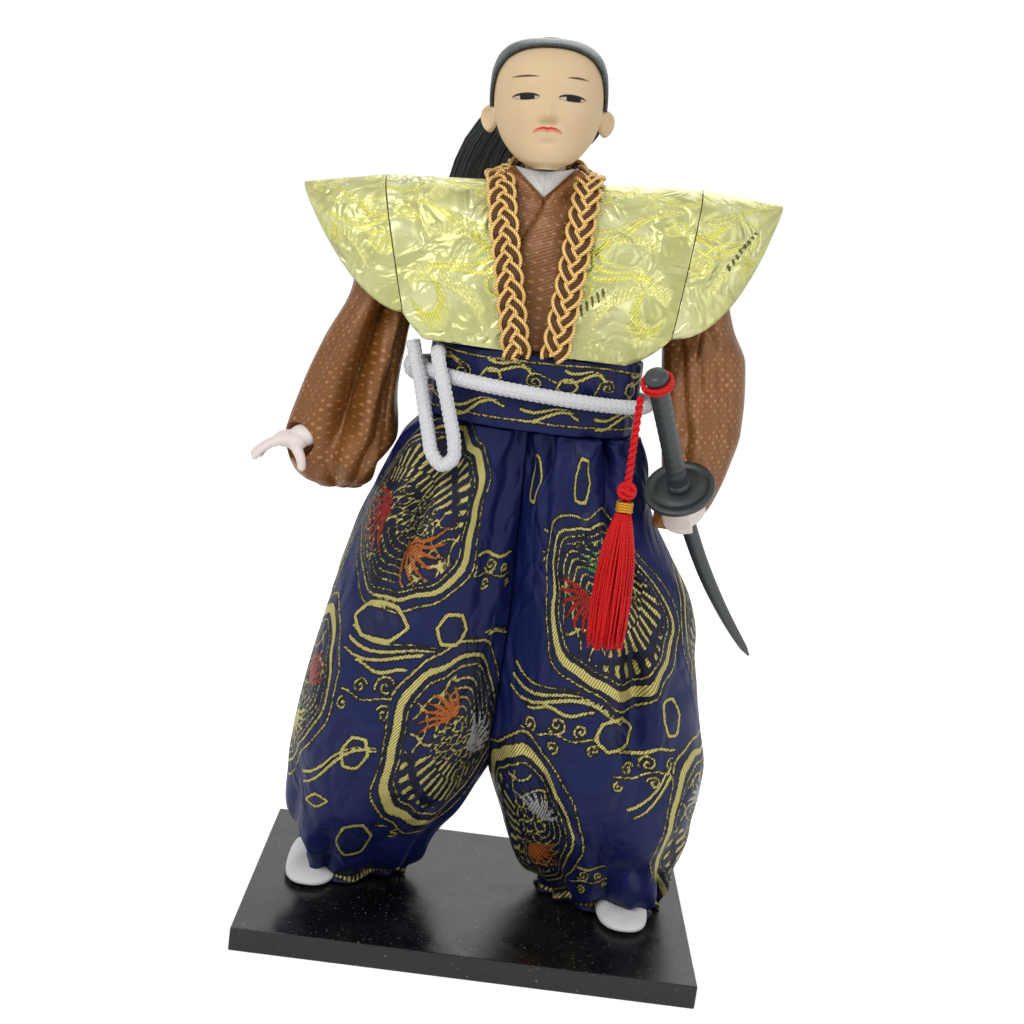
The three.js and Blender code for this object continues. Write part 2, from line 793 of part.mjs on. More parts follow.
function braidSections() {
  const half = [];
  for (let i = 0; i <= 14; i++) {
    half.push(braidSpine(mix(braidFrontStart, 0.44, i / 14)));
  }
  const behind = [
    { place: point(braidHighX + 0.8, 0, vestRidge + 3.2), normal: point(0.35, 0, 1) },
    { place: point(braidHighX - 1.6, 6.2, vestRidge + 4), normal: point(0.7, 0.5, 0.7) },
    { place: point(8, 11.4, braidBackZ), normal: point(0.5, 1, 0.35) },
    { place: point(0, braidBackY, braidBackZ + 0.6), normal: point(0, 1, 0.2) },
  ];
  const left = [...half, ...behind];
  const mirror = ({ place, normal }) => ({
    place: point(-place.x, place.y, place.z),
    normal: point(-normal.x, normal.y, normal.z),
  });
  const stations = [...left, ...left.slice(0, -1).reverse().map(mirror)];
  return stations.map(({ place, normal }, i) => {
    const before = stations[Math.max(0, i - 1)].place;
    const after = stations[Math.min(stations.length - 1, i + 1)].place;
    const along = after.clone().sub(before).normalize();
    const across = along.clone().cross(normal).normalize();
    const up = across.clone().cross(along).normalize();
    return Array.from({ length: 6 }, (_, k) => {
      const angle = (k / 6) * 2 * Math.PI;
      return place
        .clone()
        .addScaledVector(across, (Math.cos(angle) * braidWidth) / 2)
        .addScaledVector(up, (Math.sin(angle) * braidThickness) / 2);
    });
  });
}

add(upperBody, 'collar_braid', cut(loft(braidSections()), belowBand), goldBraid);

// Head: moulded face and neck in one, turning on the neck dowel.
const headGroup = new THREE.Group();
upperBody.add(headGroup);
const headShare = (share) => chinZ + share * headHeight;

// Half width, front and back of the head by share of its height from the chin.
const headWidth = through([[0, 0.22], [0.06, 0.48], [0.14, 0.67], [0.24, 0.83], [0.34, 0.925], [0.45, 0.985],
  [0.58, 1], [0.72, 0.98], [0.84, 0.89], [0.93, 0.7], [0.985, 0.38], [1, 0.1]]);
const headFront = through([[0, 15.5], [0.06, 17], [0.2, 17.8], [0.45, 18.2], [0.65, 18], [0.8, 16.2],
  [0.9, 12.8], [0.97, 7.6], [1, 2]]);
const headBack = through([[0, -5], [0.06, -1], [0.16, 6], [0.26, 13], [0.42, 17.2], [0.6, 18.8], [0.78, 17.6],
  [0.9, 13.4], [0.97, 8], [1, 2]]);

function headLoft(grow, sides = 20, steps = 12) {
  return loft(Array.from({ length: steps + 1 }, (_, i) => {
    const share = (1 - Math.cos((i / steps) * Math.PI)) / 2;
    const front = headFront(share);
    const back = headBack(share);
    const spread = mix(-grow, grow, share);
    return oval({
      y: (back - front) / 2,
      z: headShare(share) + spread,
      halfWidth: headHalfWidth * headWidth(share) + grow,
      halfDepth: (front + back) / 2 + grow,
      squareness: 2.15,
      sides,
    });
  }));
}

const noseShare = 0.38;
const earShare = 0.38;
const earReach = 19.6;
const noseZ = headShare(noseShare);
const nose = ball(point(0, -headFront(noseShare) + 0.2, noseZ), 1.9, 1.9, 2.4, 10, 8);
const noseBridge = ball(point(0, -headFront(0.48) + 0.6, headShare(0.48)), 1.2, 1.3, 4.6, 8, 8);

function ear(side, grow) {
  const middle = point(side * (earReach - 2.2), 1, headShare(earShare));
  return ball(middle, 2.4 + grow, 3.6 + grow, 5.2 + grow);
}

const neck = roundBar(neckRadius, neckBottom, headShare(0.3), 16);
const headSolid = join(headLoft(0), nose, noseBridge, ear(-1, 0), ear(1, 0), neck);
add(headGroup, 'head', cut(headSolid, dowelBore), skin);

// Hair: a close cap from the hairline back, and a ponytail tied behind.
const hairlineTop = headShare(0.9);
const hairSlant = Math.atan2(12, headHeight * 0.62);
const faceSide = new THREE.BoxGeometry(4 * headHalfWidth, 40, 3 * headHeight);
faceSide.translate(0, -20, 0);
faceSide.rotateX(hairSlant);
faceSide.translate(0, -headFront(0.9) - 0.2, hairlineTop);
const hairBottom = headShare(0.2);
const underHair = block(point(-60, -60, hairBottom - 60), point(60, 60, hairBottom));
add(headGroup, 'hair_cap', cut(
  headLoft(hairThickness + seatGap),
  headLoft(seatGap),
  ear(-1, seatGap),
  ear(1, seatGap),
  roundBar(neckRadius + seatGap, neckBottom, headShare(0.35), 16),
  faceSide,
  underHair,
), blackHair);

const tieShare = 0.66;
const tieY = headBack(tieShare) + hairThickness + seatGap;
const tieMiddle = point(-4, tieY + 2.6, headShare(tieShare));
add(headGroup, 'hair_tie', ball(tieMiddle, 4.4, 2.3, 4.4, 14, 10), blackHair);

const ponytailSpine = new THREE.CatmullRomCurve3([
  point(-6.5, tieY + 7.2, headShare(0.66)),
  point(-12.5, 29.5, headShare(0.42)),
  point(-18, 31.2, headShare(0.16)),
  point(-22, 31.6, 69),
  point(-26, 31, 50),
  point(-28, 30, 30),
  point(-28.5, 29, 12),
]);
const lockWidth = through([[0, 0.42], [0.12, 0.7], [0.35, 1], [0.7, 0.9], [1, 0.35]]);
const lockThickness = through([[0, 0.7], [0.2, 1], [0.7, 0.85], [1, 0.35]]);

function ponytailRing(share) {
  const middle = ponytailSpine.getPointAt(share);
  const along = ponytailSpine.getTangentAt(share);
  const across = point(1, 0.25, 0).cross(along).cross(along).normalize();
  const up = across.clone().cross(along).normalize();
  return Array.from({ length: 14 }, (_, k) => {
    const angle = (k / 14) * 2 * Math.PI;
    return middle
      .clone()
      .addScaledVector(across, (Math.cos(angle) * ponytailWidth * lockWidth(share)) / 2)
      .addScaledVector(up, (Math.sin(angle) * ponytailThickness * lockThickness(share)) / 2);
  });
}

add(headGroup, 'ponytail', loft(Array.from({ length: 15 }, (_, i) => ponytailRing(i / 14))), blackHair);

// Sleeves: brown satin over padding. Rows give height, middle x, middle y, half width and half depth.
function sleeveSolid(side, rows, puckers) {
  const heights = rows.map((row) => row[0]);
  const column = (k) => through(rows.map((row) => [row[0], row[k]]));
  const [middleX, middleY, halfWidth, halfDepth] = [1, 2, 3, 4].map(column);
  const low = heights[0];
  const high = heights[heights.length - 1];
  const steps = 13;
  return loft(Array.from({ length: steps + 1 }, (_, i) => {
    const z = mix(low, high, i / steps);
    return oval({
      x: side * middleX(z),
      y: middleY(z),
      z,
      halfWidth: halfWidth(z),
      halfDepth: halfDepth(z),
      sides: 18,
      ripple: (angle) => foldDepth(puckers, angle, z + 200) * Math.min(1, (high - z) / 30),
    });
  }));
}

// Tapering round-ended rod through points, with a radius at each.
function rod(points, radii, sides = 10) {
  const last = points.length - 1;
  const rings = points.map((p, i) => {
    const along = points[Math.min(last, i + 1)].clone().sub(points[Math.max(0, i - 1)]).normalize();
    return { middle: p, along, radius: radii[i] };
  });
  const rounded = (ring, way) => ({
    middle: ring.middle.clone().addScaledVector(ring.along, way * ring.radius * 0.7),
    along: ring.along,
    radius: ring.radius * 0.6,
  });
  const all = [rounded(rings[0], -1), ...rings, rounded(rings[last], 1)];
  const guide = Math.abs(all[0].along.z) < 0.8 ? point(0, 0, 1) : point(0, 1, 0);
  return loft(all.map(({ middle, along, radius }) => {
    const across = along.clone().cross(guide).normalize();
    const up = across.clone().cross(along).normalize();
    return Array.from({ length: sides }, (_, k) => {
      const angle = (k / sides) * 2 * Math.PI;
      return middle
        .clone()
        .addScaledVector(across, Math.cos(angle) * radius)
        .addScaledVector(up, Math.sin(angle) * radius);
    });
  }));
}

// Right arm: hangs out from the side, hand open.
const rightArm = new THREE.Group();
upperBody.add(rightArm);
const rightSleeveRows = [
  [-30.5, 62, -2, 7, 4],
  [-27, 62.5, -2, 11.5, 7.5],
  [-20, 63.5, -2, 16.5, 10.5],
  [-12, 62, -1, 19.4, 12],
  [2, 59.9, 0, 17.2, 12.5],
  [19, 55.2, 0, 14.4, 12],
  [34, 50.3, 0, 11.2, 9.8],
  [46, 48.6, 0, 9.6, 8.2],
  [55, 47, 0, 7.8, 6.6],
  [61, 45, 0, 5, 4],
];
const rightPuckers = [
  { at: 302, depth: 3.2, width: 14, low: 172, high: 250 },
  { at: 255, depth: 2.2, width: 12, low: 168, high: 225 },
  { at: 60, depth: 2.4, width: 14, low: 172, high: 240 },
];
const rightWrist = [point(-67, -5, -10.5), point(-75, -8, -14.2)];
const rightWristRadii = [3.4, 3.8];
const rightArmWire = [
  point(-39.6, shoulderWireY, shoulderWireZ),
  point(-48, 3, 30),
  point(-57, -1, 8),
  point(-64.6, -4.2, -7.4),
];
const wristGrow = seatGap;

function armWireCutter(points) {
  const start = points[0].clone().sub(points[1]).setLength(10).add(points[0]);
  const last = points.length - 1;
  const end = points[last].clone().sub(points[last - 1]).setLength(3).add(points[last]);
  return cordSolid([start, ...points, end], wireBore, 8, 16);
}

add(rightArm, 'sleeve_right', cut(
  sleeveSolid(-1, rightSleeveRows, rightPuckers),
  rod(rightWrist, rightWristRadii.map((r) => r + wristGrow)),
  ball(rightWrist[1], 10, 7.2, 7.4),
  armWireCutter(rightArmWire),
), brownSatin);
add(rightArm, 'arm_wire_right', cordSolid(rightArmWire, wireDiameter, 8, 12), steelWire);

function finger(points, radius) {
  return rod(points, [radius, radius * 0.95, radius * 0.75], 8);
}

const openFingers = [0, 1, 2, 3].map((i) => {
  const y = -12.2 + 2.7 * i;
  const drop = Math.abs(i - 1.2) * 0.9;
  return finger([
    point(-80.5, y, -14.4 - drop * 0.4),
    point(-86.2, y - 0.4, -16.6 - drop),
    point(-90.4 + drop, y - 0.6, -20.2 - drop),
  ], 1.35);
});
const thumbPoints = [point(-75.6, -11.4, -16.6), point(-73.6, -13, -20.4), point(-73.2, -13.2, -24)];
const openThumb = finger(thumbPoints, 1.5);
add(rightArm, 'hand_right', join(
  rod(rightWrist, rightWristRadii),
  ball(point(-78.4, -8.4, -14.6), 5, 5.2, 2.9, 12, 8),
  ...openFingers,
  openThumb,
), handSkin);

// Left arm: bent forwards, the fist round the scabbard.
const leftArm = new THREE.Group();
upperBody.add(leftArm);
const leftSleeveRows = [
  [-35.5, 43.5, -17, 3.5, 4],
  [-31, 47.5, -15, 7.5, 7],
  [-22, 51.6, -12, 10.6, 9.5],
  [-13, 53.4, -9, 12.6, 11.5],
  [-5, 54.6, -6, 13.8, 12.5],
  [5, 54.6, -3.5, 14.5, 12.5],
  [16, 54.4, -1.5, 14.3, 12],
  [27, 52.2, 0, 12.4, 11],
  [38, 50.4, 0, 11, 9],
  [47, 49, 0, 9.8, 8.2],
  [55, 47, 0, 7.8, 6.6],
  [61, 45, 0, 5, 4],
];
const leftPuckers = [
  { at: 236, depth: 3, width: 14, low: 172, high: 245 },
  { at: 285, depth: 1.8, width: 12, low: 180, high: 235 },
  { at: 110, depth: 2.4, width: 14, low: 172, high: 240 },
];

// Sword frame: its Z axis runs up the grip from the guard, its X axis towards the curve's centre.
const sword = new THREE.Group();
const guardMiddle = point(46.8, -31.5, -20.3);
const gripDirection = point(-10.9, -25, 34.5).normalize();
const curveSide = point(1, 0, 0).addScaledVector(gripDirection, -gripDirection.x).normalize();
const swordY = gripDirection.clone().cross(curveSide);
sword.quaternion.setFromRotationMatrix(new THREE.Matrix4().makeBasis(curveSide, swordY, gripDirection));
sword.position.copy(guardMiddle);
leftArm.add(sword);
sword.updateMatrix();

// Scabbard: a flattened bar on an arc, narrowing to a rounded end.
const scabbardNarrowing = through([[0, 1], [0.45, 0.93], [0.8, 0.72], [0.95, 0.5], [1, 0.2]]);

function scabbardSolid(grow, startAt, length, steps) {
  return loft(Array.from({ length: steps + 1 }, (_, i) => {
    const run = startAt + (length * i) / steps;
    const angle = run / scabbardRadius;
    const narrow = scabbardNarrowing(Math.max(0, run) / scabbardLength);
    const middle = point(scabbardRadius * (1 - Math.cos(angle)), 0, -scabbardRadius * Math.sin(angle));
    const outward = point(Math.cos(angle), 0, Math.sin(angle));
    return Array.from({ length: 10 }, (_, k) => {
      const turn = (k / 10) * 2 * Math.PI;
      return middle
        .clone()
        .addScaledVector(outward, Math.cos(turn) * ((scabbardWidth * narrow) / 2 + grow))
        .add(point(0, Math.sin(turn) * ((scabbardThickness * narrow) / 2 + grow), 0));
    });
  }));
}

const scabbardStart = guardThickness / 2 + seatGap;
add(sword, 'scabbard', scabbardSolid(0, scabbardStart, scabbardLength - scabbardStart, 16), greyPlastic);

const guardProfile = [
  new THREE.Vector2(0, -guardThickness / 2),
  new THREE.Vector2(guardDiameter / 2 - 0.6, -guardThickness / 2),
  new THREE.Vector2(guardDiameter / 2, -guardThickness / 2 + 0.6),
  new THREE.Vector2(guardDiameter / 2, guardThickness / 2 - 0.6),
  new THREE.Vector2(guardDiameter / 2 - 0.6, guardThickness / 2),
  new THREE.Vector2(0, guardThickness / 2),
];
add(sword, 'sword_guard', new THREE.LatheGeometry(guardProfile, 28).rotateX(Math.PI / 2), greyPlastic);

const gripStart = guardThickness / 2 + seatGap;
const gripR = gripDiameter / 2;
const pommelLength = 3.2;
const gripEnd = gripLength - pommelLength - seatGap;
const gripProfile = [
  new THREE.Vector2(0, gripStart),
  new THREE.Vector2(gripR + 0.5, gripStart),
  new THREE.Vector2(gripR + 0.5, gripStart + 1.6),
  new THREE.Vector2(gripR, gripStart + 2),
  new THREE.Vector2(gripR * 0.94, gripLength * 0.5),
  new THREE.Vector2(gripR * 1.02, gripEnd),
  new THREE.Vector2(0, gripEnd),
];
add(sword, 'sword_grip', new THREE.LatheGeometry(gripProfile, 16).rotateX(Math.PI / 2), greyPlastic);
const pommelProfile = [
  new THREE.Vector2(0, gripEnd + seatGap),
  new THREE.Vector2(gripR * 1.12, gripEnd + seatGap),
  new THREE.Vector2(gripR * 1.15, gripLength - 1.4),
  new THREE.Vector2(gripR * 0.8, gripLength - 0.2),
  new THREE.Vector2(0, gripLength),
];
add(sword, 'sword_pommel', new THREE.LatheGeometry(pommelProfile, 16).rotateX(Math.PI / 2), greyPlastic);

// Fist and wrist, with the scabbard's way through it.
const fistDown = scabbardStart + 1.2 + fistRadius;
const fistMiddle = point(0.3, 0, -fistDown).applyMatrix4(sword.matrix);
const leftWrist = [point(54.5, -10, -14), fistMiddle.clone().add(point(1.6, 3, 2.2))];
const leftWristRadii = [3.4, 3.9];
const leftArmWire = [
  point(39.6, shoulderWireY, shoulderWireZ),
  point(47, 3.5, 30),
  point(53, 0, 8),
  point(54.8, -5, -5),
  point(54.6, -8, -10.4),
];
const scabbardWay = scabbardSolid(seatGap, -4, fistDown + 2 * fistRadius + 4, 8).applyMatrix4(sword.matrix);
const fistParts = [ball(fistMiddle, fistRadius, fistRadius * 0.92, fistRadius * 0.88)];
for (let i = 0; i < 4; i++) {
  const along = (i - 1.5) * 2.5;
  const knuckle = point(-1.2, -fistRadius * 0.72, -fistDown + along).applyMatrix4(sword.matrix);
  const tip = point(-fistRadius * 0.86, -0.5, -fistDown + along).applyMatrix4(sword.matrix);
  fistParts.push(rod([knuckle, tip], [1.35, 1.2], 8));
}
fistParts.push(rod(leftWrist, leftWristRadii));
const fistSolid = cut(join(...fistParts), scabbardWay);
add(leftArm, 'hand_left', fistSolid, handSkin);
add(leftArm, 'arm_wire_left', cordSolid(leftArmWire, wireDiameter, 8, 12), steelWire);

const fistRoom = ball(fistMiddle, fistRadius + 1.2, fistRadius + 1.2, fistRadius + 1.2);
const swordRoom = roundBar(guardDiameter / 2 + 1.2, -2.5, 2.5, 28).applyMatrix4(sword.matrix);
const scabbardRoom = scabbardSolid(1, 0, scabbardLength, 12).applyMatrix4(sword.matrix);
add(leftArm, 'sleeve_left', cut(
  sleeveSolid(1, leftSleeveRows, leftPuckers),
  rod(leftWrist, leftWristRadii.map((r) => r + wristGrow)),
  fistRoom,
  swordRoom,
  scabbardRoom,
  armWireCutter(leftArmWire),
), brownSatin);

// Tassel: hangs plumb from a loop tied round the grip under the pommel.
const tieDown = pommelLength + seatGap + 1.6;
const loopTube = 1.1;
const tasselLoop = new THREE.TorusGeometry(gripR * 1.02 + loopTube + seatGap, loopTube, 6, 16);
add(sword, 'tassel_loop', tasselLoop.translate(0, 0, gripLength - tieDown), redThread);

const leftArmWorld = upperBody.matrixWorld.clone().multiply(sword.matrix);
const loopMiddle = point(0, 0, gripLength - tieDown).applyMatrix4(leftArmWorld);
// The cord leaves the loop at its lower front, towards the doll's middle.
const loopToCord = point(-4.9, -3.9, -3.4);
const tassel = new THREE.Group();
tassel.position.copy(loopMiddle).add(loopToCord);
doll.add(tassel);

const tasselCordPoints = [0, 0.33, 0.67, 1].map((share) => point(0, 0, -share * tasselCordLength));
add(tassel, 'tassel_cord', cordSolid(tasselCordPoints, tasselCordDiameter, 8, 8), redThread);
const knotR = tasselKnotDiameter / 2;
const knotZ = -tasselCordLength - seatGap - knotR;
add(tassel, 'tassel_knot', ball(point(0, 0, knotZ), knotR, knotR, knotR, 12, 8), redThread);
const bandZ = knotZ - knotR - seatGap;
add(tassel, 'tassel_band', roundBar(knotR * 0.8, bandZ - tasselBandHeight, bandZ, 16), goldThread);
const skirtTop = bandZ - tasselBandHeight - seatGap;
const skirtProfile = [
  new THREE.Vector2(0, -tasselSkirtLength),
  new THREE.Vector2(5.4, -tasselSkirtLength),
  new THREE.Vector2(6.2, -tasselSkirtLength * 0.72),
  new THREE.Vector2(5.4, -tasselSkirtLength * 0.35),
  new THREE.Vector2(3.4, -tasselSkirtLength * 0.1),
  new THREE.Vector2(2.2, 0),
  new THREE.Vector2(0, 0),
];
add(
  tassel,
  'tassel_skirt',
  new THREE.LatheGeometry(skirtProfile, 16).rotateX(Math.PI / 2).translate(0, 0, skirtTop),
  redThread,
);

export default doll;
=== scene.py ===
"""Samurai doll on a lacquered board: brocade and satin clothes, plaited edging, sword and tassel.

The frame is in metres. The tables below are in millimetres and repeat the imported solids' shapes.
"""

import math

import bmesh
import bpy
import numpy as np
from bpy.props import FloatProperty, FloatVectorProperty, IntProperty, PointerProperty
from mathutils import Matrix, Vector


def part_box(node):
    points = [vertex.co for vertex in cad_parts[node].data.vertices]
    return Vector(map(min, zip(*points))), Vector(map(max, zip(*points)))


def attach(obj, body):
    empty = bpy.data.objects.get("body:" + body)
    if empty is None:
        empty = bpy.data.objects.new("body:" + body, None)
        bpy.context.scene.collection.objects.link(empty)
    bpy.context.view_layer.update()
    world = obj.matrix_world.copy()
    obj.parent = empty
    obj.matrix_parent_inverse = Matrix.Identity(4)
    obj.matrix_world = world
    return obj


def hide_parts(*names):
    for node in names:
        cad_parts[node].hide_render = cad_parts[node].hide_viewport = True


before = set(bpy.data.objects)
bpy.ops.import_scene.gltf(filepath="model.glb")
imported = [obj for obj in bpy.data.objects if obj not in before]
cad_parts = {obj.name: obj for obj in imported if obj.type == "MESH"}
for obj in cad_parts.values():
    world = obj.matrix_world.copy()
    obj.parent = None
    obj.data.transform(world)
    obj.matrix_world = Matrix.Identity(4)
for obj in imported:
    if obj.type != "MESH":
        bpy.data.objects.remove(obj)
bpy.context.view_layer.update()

bl_info = {
    "name": "Samurai Doll",
    "version": (1, 0, 0),
    "blender": (4, 5, 0),
    "location": "View3D > Sidebar > Doll",
    "description": "Dresses the packed samurai doll in its clothes, hair, face and finishes",
    "category": "Object",
}

MM = 0.001
TURN = 2 * math.pi
SEED = 7
SIDES = (("right", -1), ("left", 1))
# Points computed between two given ones of a smooth path.
FINE_STEPS = 24


def linear(code):
    """An sRGB hex colour as linear red, green and blue."""
    shares = [int(code[i : i + 2], 16) / 255 for i in (0, 2, 4)]
    return tuple(s / 12.92 if s <= 0.04045 else ((s + 0.055) / 1.055) ** 2.4 for s in shares)


def rgba(colour):
    """A colour property or a hex code as four numbers."""
    return (*(linear(colour) if isinstance(colour, str) else colour), 1.0)


# Shape helpers. Points are arrays of shape (n, 3), in millimetres.


def mix(start, end, share):
    return start + (end - start) * share


def ease(low, high, value):
    """0 below low, 1 above high, smooth between."""
    t = np.clip((value - low) / (high - low), 0, 1)
    return t * t * (3 - 2 * t)


def xyz(x, y, z):
    return np.stack(np.broadcast_arrays(x, y, z), axis=-1).astype(float)


def through(pairs):
    """Smooth curve through [place, value] pairs, flat beyond both ends."""
    x, y = np.array(pairs, float).T
    rise = np.diff(y) / np.diff(x)
    slope = np.zeros(len(x))
    before, after = rise[:-1], rise[1:]
    same_way = before * after > 0
    slope[1:-1] = np.where(same_way, 2 * before * after / np.where(same_way, before + after, 1), 0)

    def curve(at):
        at = np.clip(at, x[0], x[-1])
        i = np.clip(np.searchsorted(x, at, side="right") - 1, 0, len(x) - 2)
        span = x[i + 1] - x[i]
        t = (at - x[i]) / span
        bend = slope[i] * span * t * (1 - t) ** 2 + slope[i + 1] * span * t * t * (t - 1)
        return y[i] + (y[i + 1] - y[i]) * t * t * (3 - 2 * t) + bend

    return curve


def rounded(angle, squareness):
    """Across and along shares of a rounder or squarer oval at each angle."""
    c, s = np.cos(angle), np.sin(angle)
    power = 2 / squareness
    return np.sign(c) * np.abs(c) ** power, np.sign(s) * np.abs(s) ** power


def even_angles(half_width, half_depth, squareness):
    """Angle round an oval for each share of the way round it, so that cloth isn't stretched."""
    angle = np.linspace(0, TURN, 721)
    across, along = rounded(angle, squareness)
    steps = np.hypot(np.diff(across * half_width), np.diff(along * half_depth))
    run = np.concatenate([[0], np.cumsum(steps)])
    return lambda share: np.interp(share, run / run[-1], angle)


def smooth_path(points, count):
    """count + 1 evenly spaced points on a smooth curve through the given ones."""
    p = np.array(points, float)
    p = np.vstack([2 * p[0] - p[1], p, 2 * p[-1] - p[-2]])
    knots = np.concatenate([[0], np.cumsum(np.linalg.norm(np.diff(p, axis=0), axis=1) ** 0.5)])
    fine = []
    for i in range(1, len(p) - 2):
        t0, t1, t2, t3 = knots[i - 1 : i + 3]
        t = np.linspace(t1, t2, FINE_STEPS, endpoint=False)[:, None]
        a1 = (t1 - t) / (t1 - t0) * p[i - 1] + (t - t0) / (t1 - t0) * p[i]
        a2 = (t2 - t) / (t2 - t1) * p[i] + (t - t1) / (t2 - t1) * p[i + 1]
        a3 = (t3 - t) / (t3 - t2) * p[i + 1] + (t - t2) / (t3 - t2) * p[i + 2]
        b1 = (t2 - t) / (t2 - t0) * a1 + (t - t0) / (t2 - t0) * a2
        b2 = (t3 - t) / (t3 - t1) * a2 + (t - t1) / (t3 - t1) * a3
        fine.append((t2 - t) / (t2 - t1) * b1 + (t - t1) / (t2 - t1) * b2)
    fine = np.vstack([*fine, p[-2:-1]])
    run = path_run(fine)
    even = np.linspace(0, run[-1], count + 1)
    return np.stack([np.interp(even, run, fine[:, k]) for k in range(3)], axis=1)


def path_run(path):
    """Distance along a path at each of its points."""
    return np.concatenate([[0], np.cumsum(np.linalg.norm(np.diff(path, axis=0), axis=1))])


def unit(vectors):
    return vectors / np.maximum(np.linalg.norm(vectors, axis=-1, keepdims=True), 1e-9)


def path_frame(path, side=None):
    """Two directions across a path at each point: the side given, or one that turns as little as it can."""
    along = unit(np.gradient(path, axis=0))
    if side is None:
        guide = np.array([0.0, 0.0, 1.0]) if abs(along[0, 2]) < 0.8 else np.array([0.0, 1.0, 0.0])
        side = np.empty_like(path)
        for i, way in enumerate(along):
            guide = guide - way * (guide @ way)
            guide = guide / np.linalg.norm(guide)
            side[i] = guide
    side = unit(side - along * np.sum(side * along, axis=1, keepdims=True))
    return side, np.cross(along, side)


def ring(radius, steps):
    """Two coordinates of a closed turn of a cord, and the angle at each step."""
    angle = np.linspace(0, TURN, steps + 1)
    return np.cos(angle) * radius, np.sin(angle) * radius, angle


# Mesh helpers.


def read_points(mesh):
    flat = np.empty(len(mesh.vertices) * 3, np.float32)
    mesh.vertices.foreach_get("co", flat)
    return flat.reshape(-1, 3).astype(float)


def write_points(mesh, points):
    mesh.vertices.foreach_set("co", points.astype(np.float32).ravel())
    mesh.update()


def new_object(name, mesh, material):
    piece = bpy.data.objects.new(name, mesh)
    bpy.context.scene.collection.objects.link(piece)
    mesh.materials.append(bpy.data.materials[material])
    mesh.polygons.foreach_set("use_smooth", np.ones(len(mesh.polygons), bool))
    return piece


def weld(mesh):
    """Joins the edges that meet, drops what they close up, and points the faces outwards."""
    bm = bmesh.new()
    bm.from_mesh(mesh)
    bmesh.ops.remove_doubles(bm, verts=bm.verts, dist=2e-6)
    bmesh.ops.dissolve_degenerate(bm, edges=bm.edges, dist=1e-7)
    bmesh.ops.recalc_face_normals(bm, faces=bm.faces)
    bm.to_mesh(mesh)
    bm.free()


def mesh_of(bm, name):
    """Ends the work on a shape and keeps it as a mesh."""
    mesh = bpy.data.meshes.new(name)
    bm.to_mesh(mesh)
    bm.free()
    return mesh


def unit_grids(name, sizes):
    """A mesh of flat grids, one for each (columns, rows), and each point's shares across and up its grid."""
    bm = bmesh.new()
    for columns, rows in sizes:
        bmesh.ops.create_grid(bm, x_segments=columns, y_segments=rows, size=0.5)
    mesh = mesh_of(bm, name)
    return mesh, read_points(mesh)[:, :2] + 0.5


def corner_points(mesh):
    """The vertex at each corner of the faces."""
    corners = np.empty(len(mesh.loops), np.int32)
    mesh.loops.foreach_get("vertex_index", corners)
    return corners


def lay_cloth(mesh, cloth):
    """Keeps a map of the cloth, given at each vertex in millimetres."""
    layer = mesh.uv_layers.new(name="cloth")
    layer.data.foreach_set("uv", (cloth[corner_points(mesh)] * MM).astype(np.float32).ravel())


def laid_grid(name, place, columns, rows, material, cloth, closed=True):
    """A grid laid where place(u, v) says, with a map of a cloth of that size. Closed bodies are welded."""
    mesh, shares = unit_grids(name, [(columns, rows)])
    write_points(mesh, place(shares[:, 0], shares[:, 1]) * MM)
    lay_cloth(mesh, shares * np.array(cloth))
    if closed:
        weld(mesh)
    return new_object(name, mesh, material)


def laid_tubes(name, paths, radius, material, sides, sideways=None, relief=None):
    """Tubes along paths, as one mesh. radius is a number, or (wide, thick) for a flat strand.

    relief(u, run) gives how far the skin stands out of its round, as a share of the radius.
    """
    wide, thick = radius if isinstance(radius, tuple) else (radius, radius)
    mesh, shares = unit_grids(name, [(sides, len(path) + 1) for path in paths])
    points = np.empty((len(shares), 3))
    cloth = np.empty((len(shares), 2))
    start = 0
    for k, path in enumerate(paths):
        count = (sides + 1) * (len(path) + 2)
        part = slice(start, start + count)
        start += count
        u = shares[part, 0]
        row = np.rint(shares[part, 1] * (len(path) + 1)).astype(int) - 1
        station = np.clip(row, 0, len(path) - 1)
        side, up = path_frame(path, None if sideways is None else sideways[k])
        run = path_run(path)
        width = wide[k][station] if isinstance(wide, list) else wide
        depth = thick[k][station] if isinstance(thick, list) else thick
        # The first and the last row close the ends.
        skin = (row == station) * (1.0 if relief is None else 1 + relief(u, run[station]))
        angle = u * TURN
        out_side = (np.cos(angle) * width * skin)[:, None] * side[station]
        out_up = (np.sin(angle) * depth * skin)[:, None] * up[station]
        points[part] = path[station] + out_side + out_up
        cloth[part, 0] = u * TURN * np.mean(width)
        cloth[part, 1] = run[station]
    write_points(mesh, points * MM)
    lay_cloth(mesh, cloth)
    weld(mesh)
    return new_object(name, mesh, material)


def cloth_points(mesh):
    """The cloth map at each vertex, in millimetres."""
    uv = np.empty(len(mesh.loops) * 2, np.float32)
    mesh.uv_layers["cloth"].data.foreach_get("uv", uv)
    spots = np.zeros((len(mesh.vertices), 2))
    spots[corner_points(mesh)] = uv.reshape(-1, 2) / MM
    return spots


def paint(mesh, name, values):
    """Keeps one number or colour at each vertex for the materials."""
    if values.ndim == 1:
        layer = mesh.attributes.new(name, "FLOAT", "POINT")
        layer.data.foreach_set("value", values.astype(np.float32))
    else:
        layer = mesh.attributes.new(name, "FLOAT_COLOR", "POINT")
        full = np.hstack([values, np.ones((len(values), 1))])
        layer.data.foreach_set("color", full.astype(np.float32).ravel())


def thicken(piece, thickness, offset=0):
    """Gives a sheet its thickness, half to each side, or all of it inwards with an offset of -1."""
    solid = piece.modifiers.new("thickness", "SOLIDIFY")
    solid.thickness = thickness * MM
    solid.offset = offset


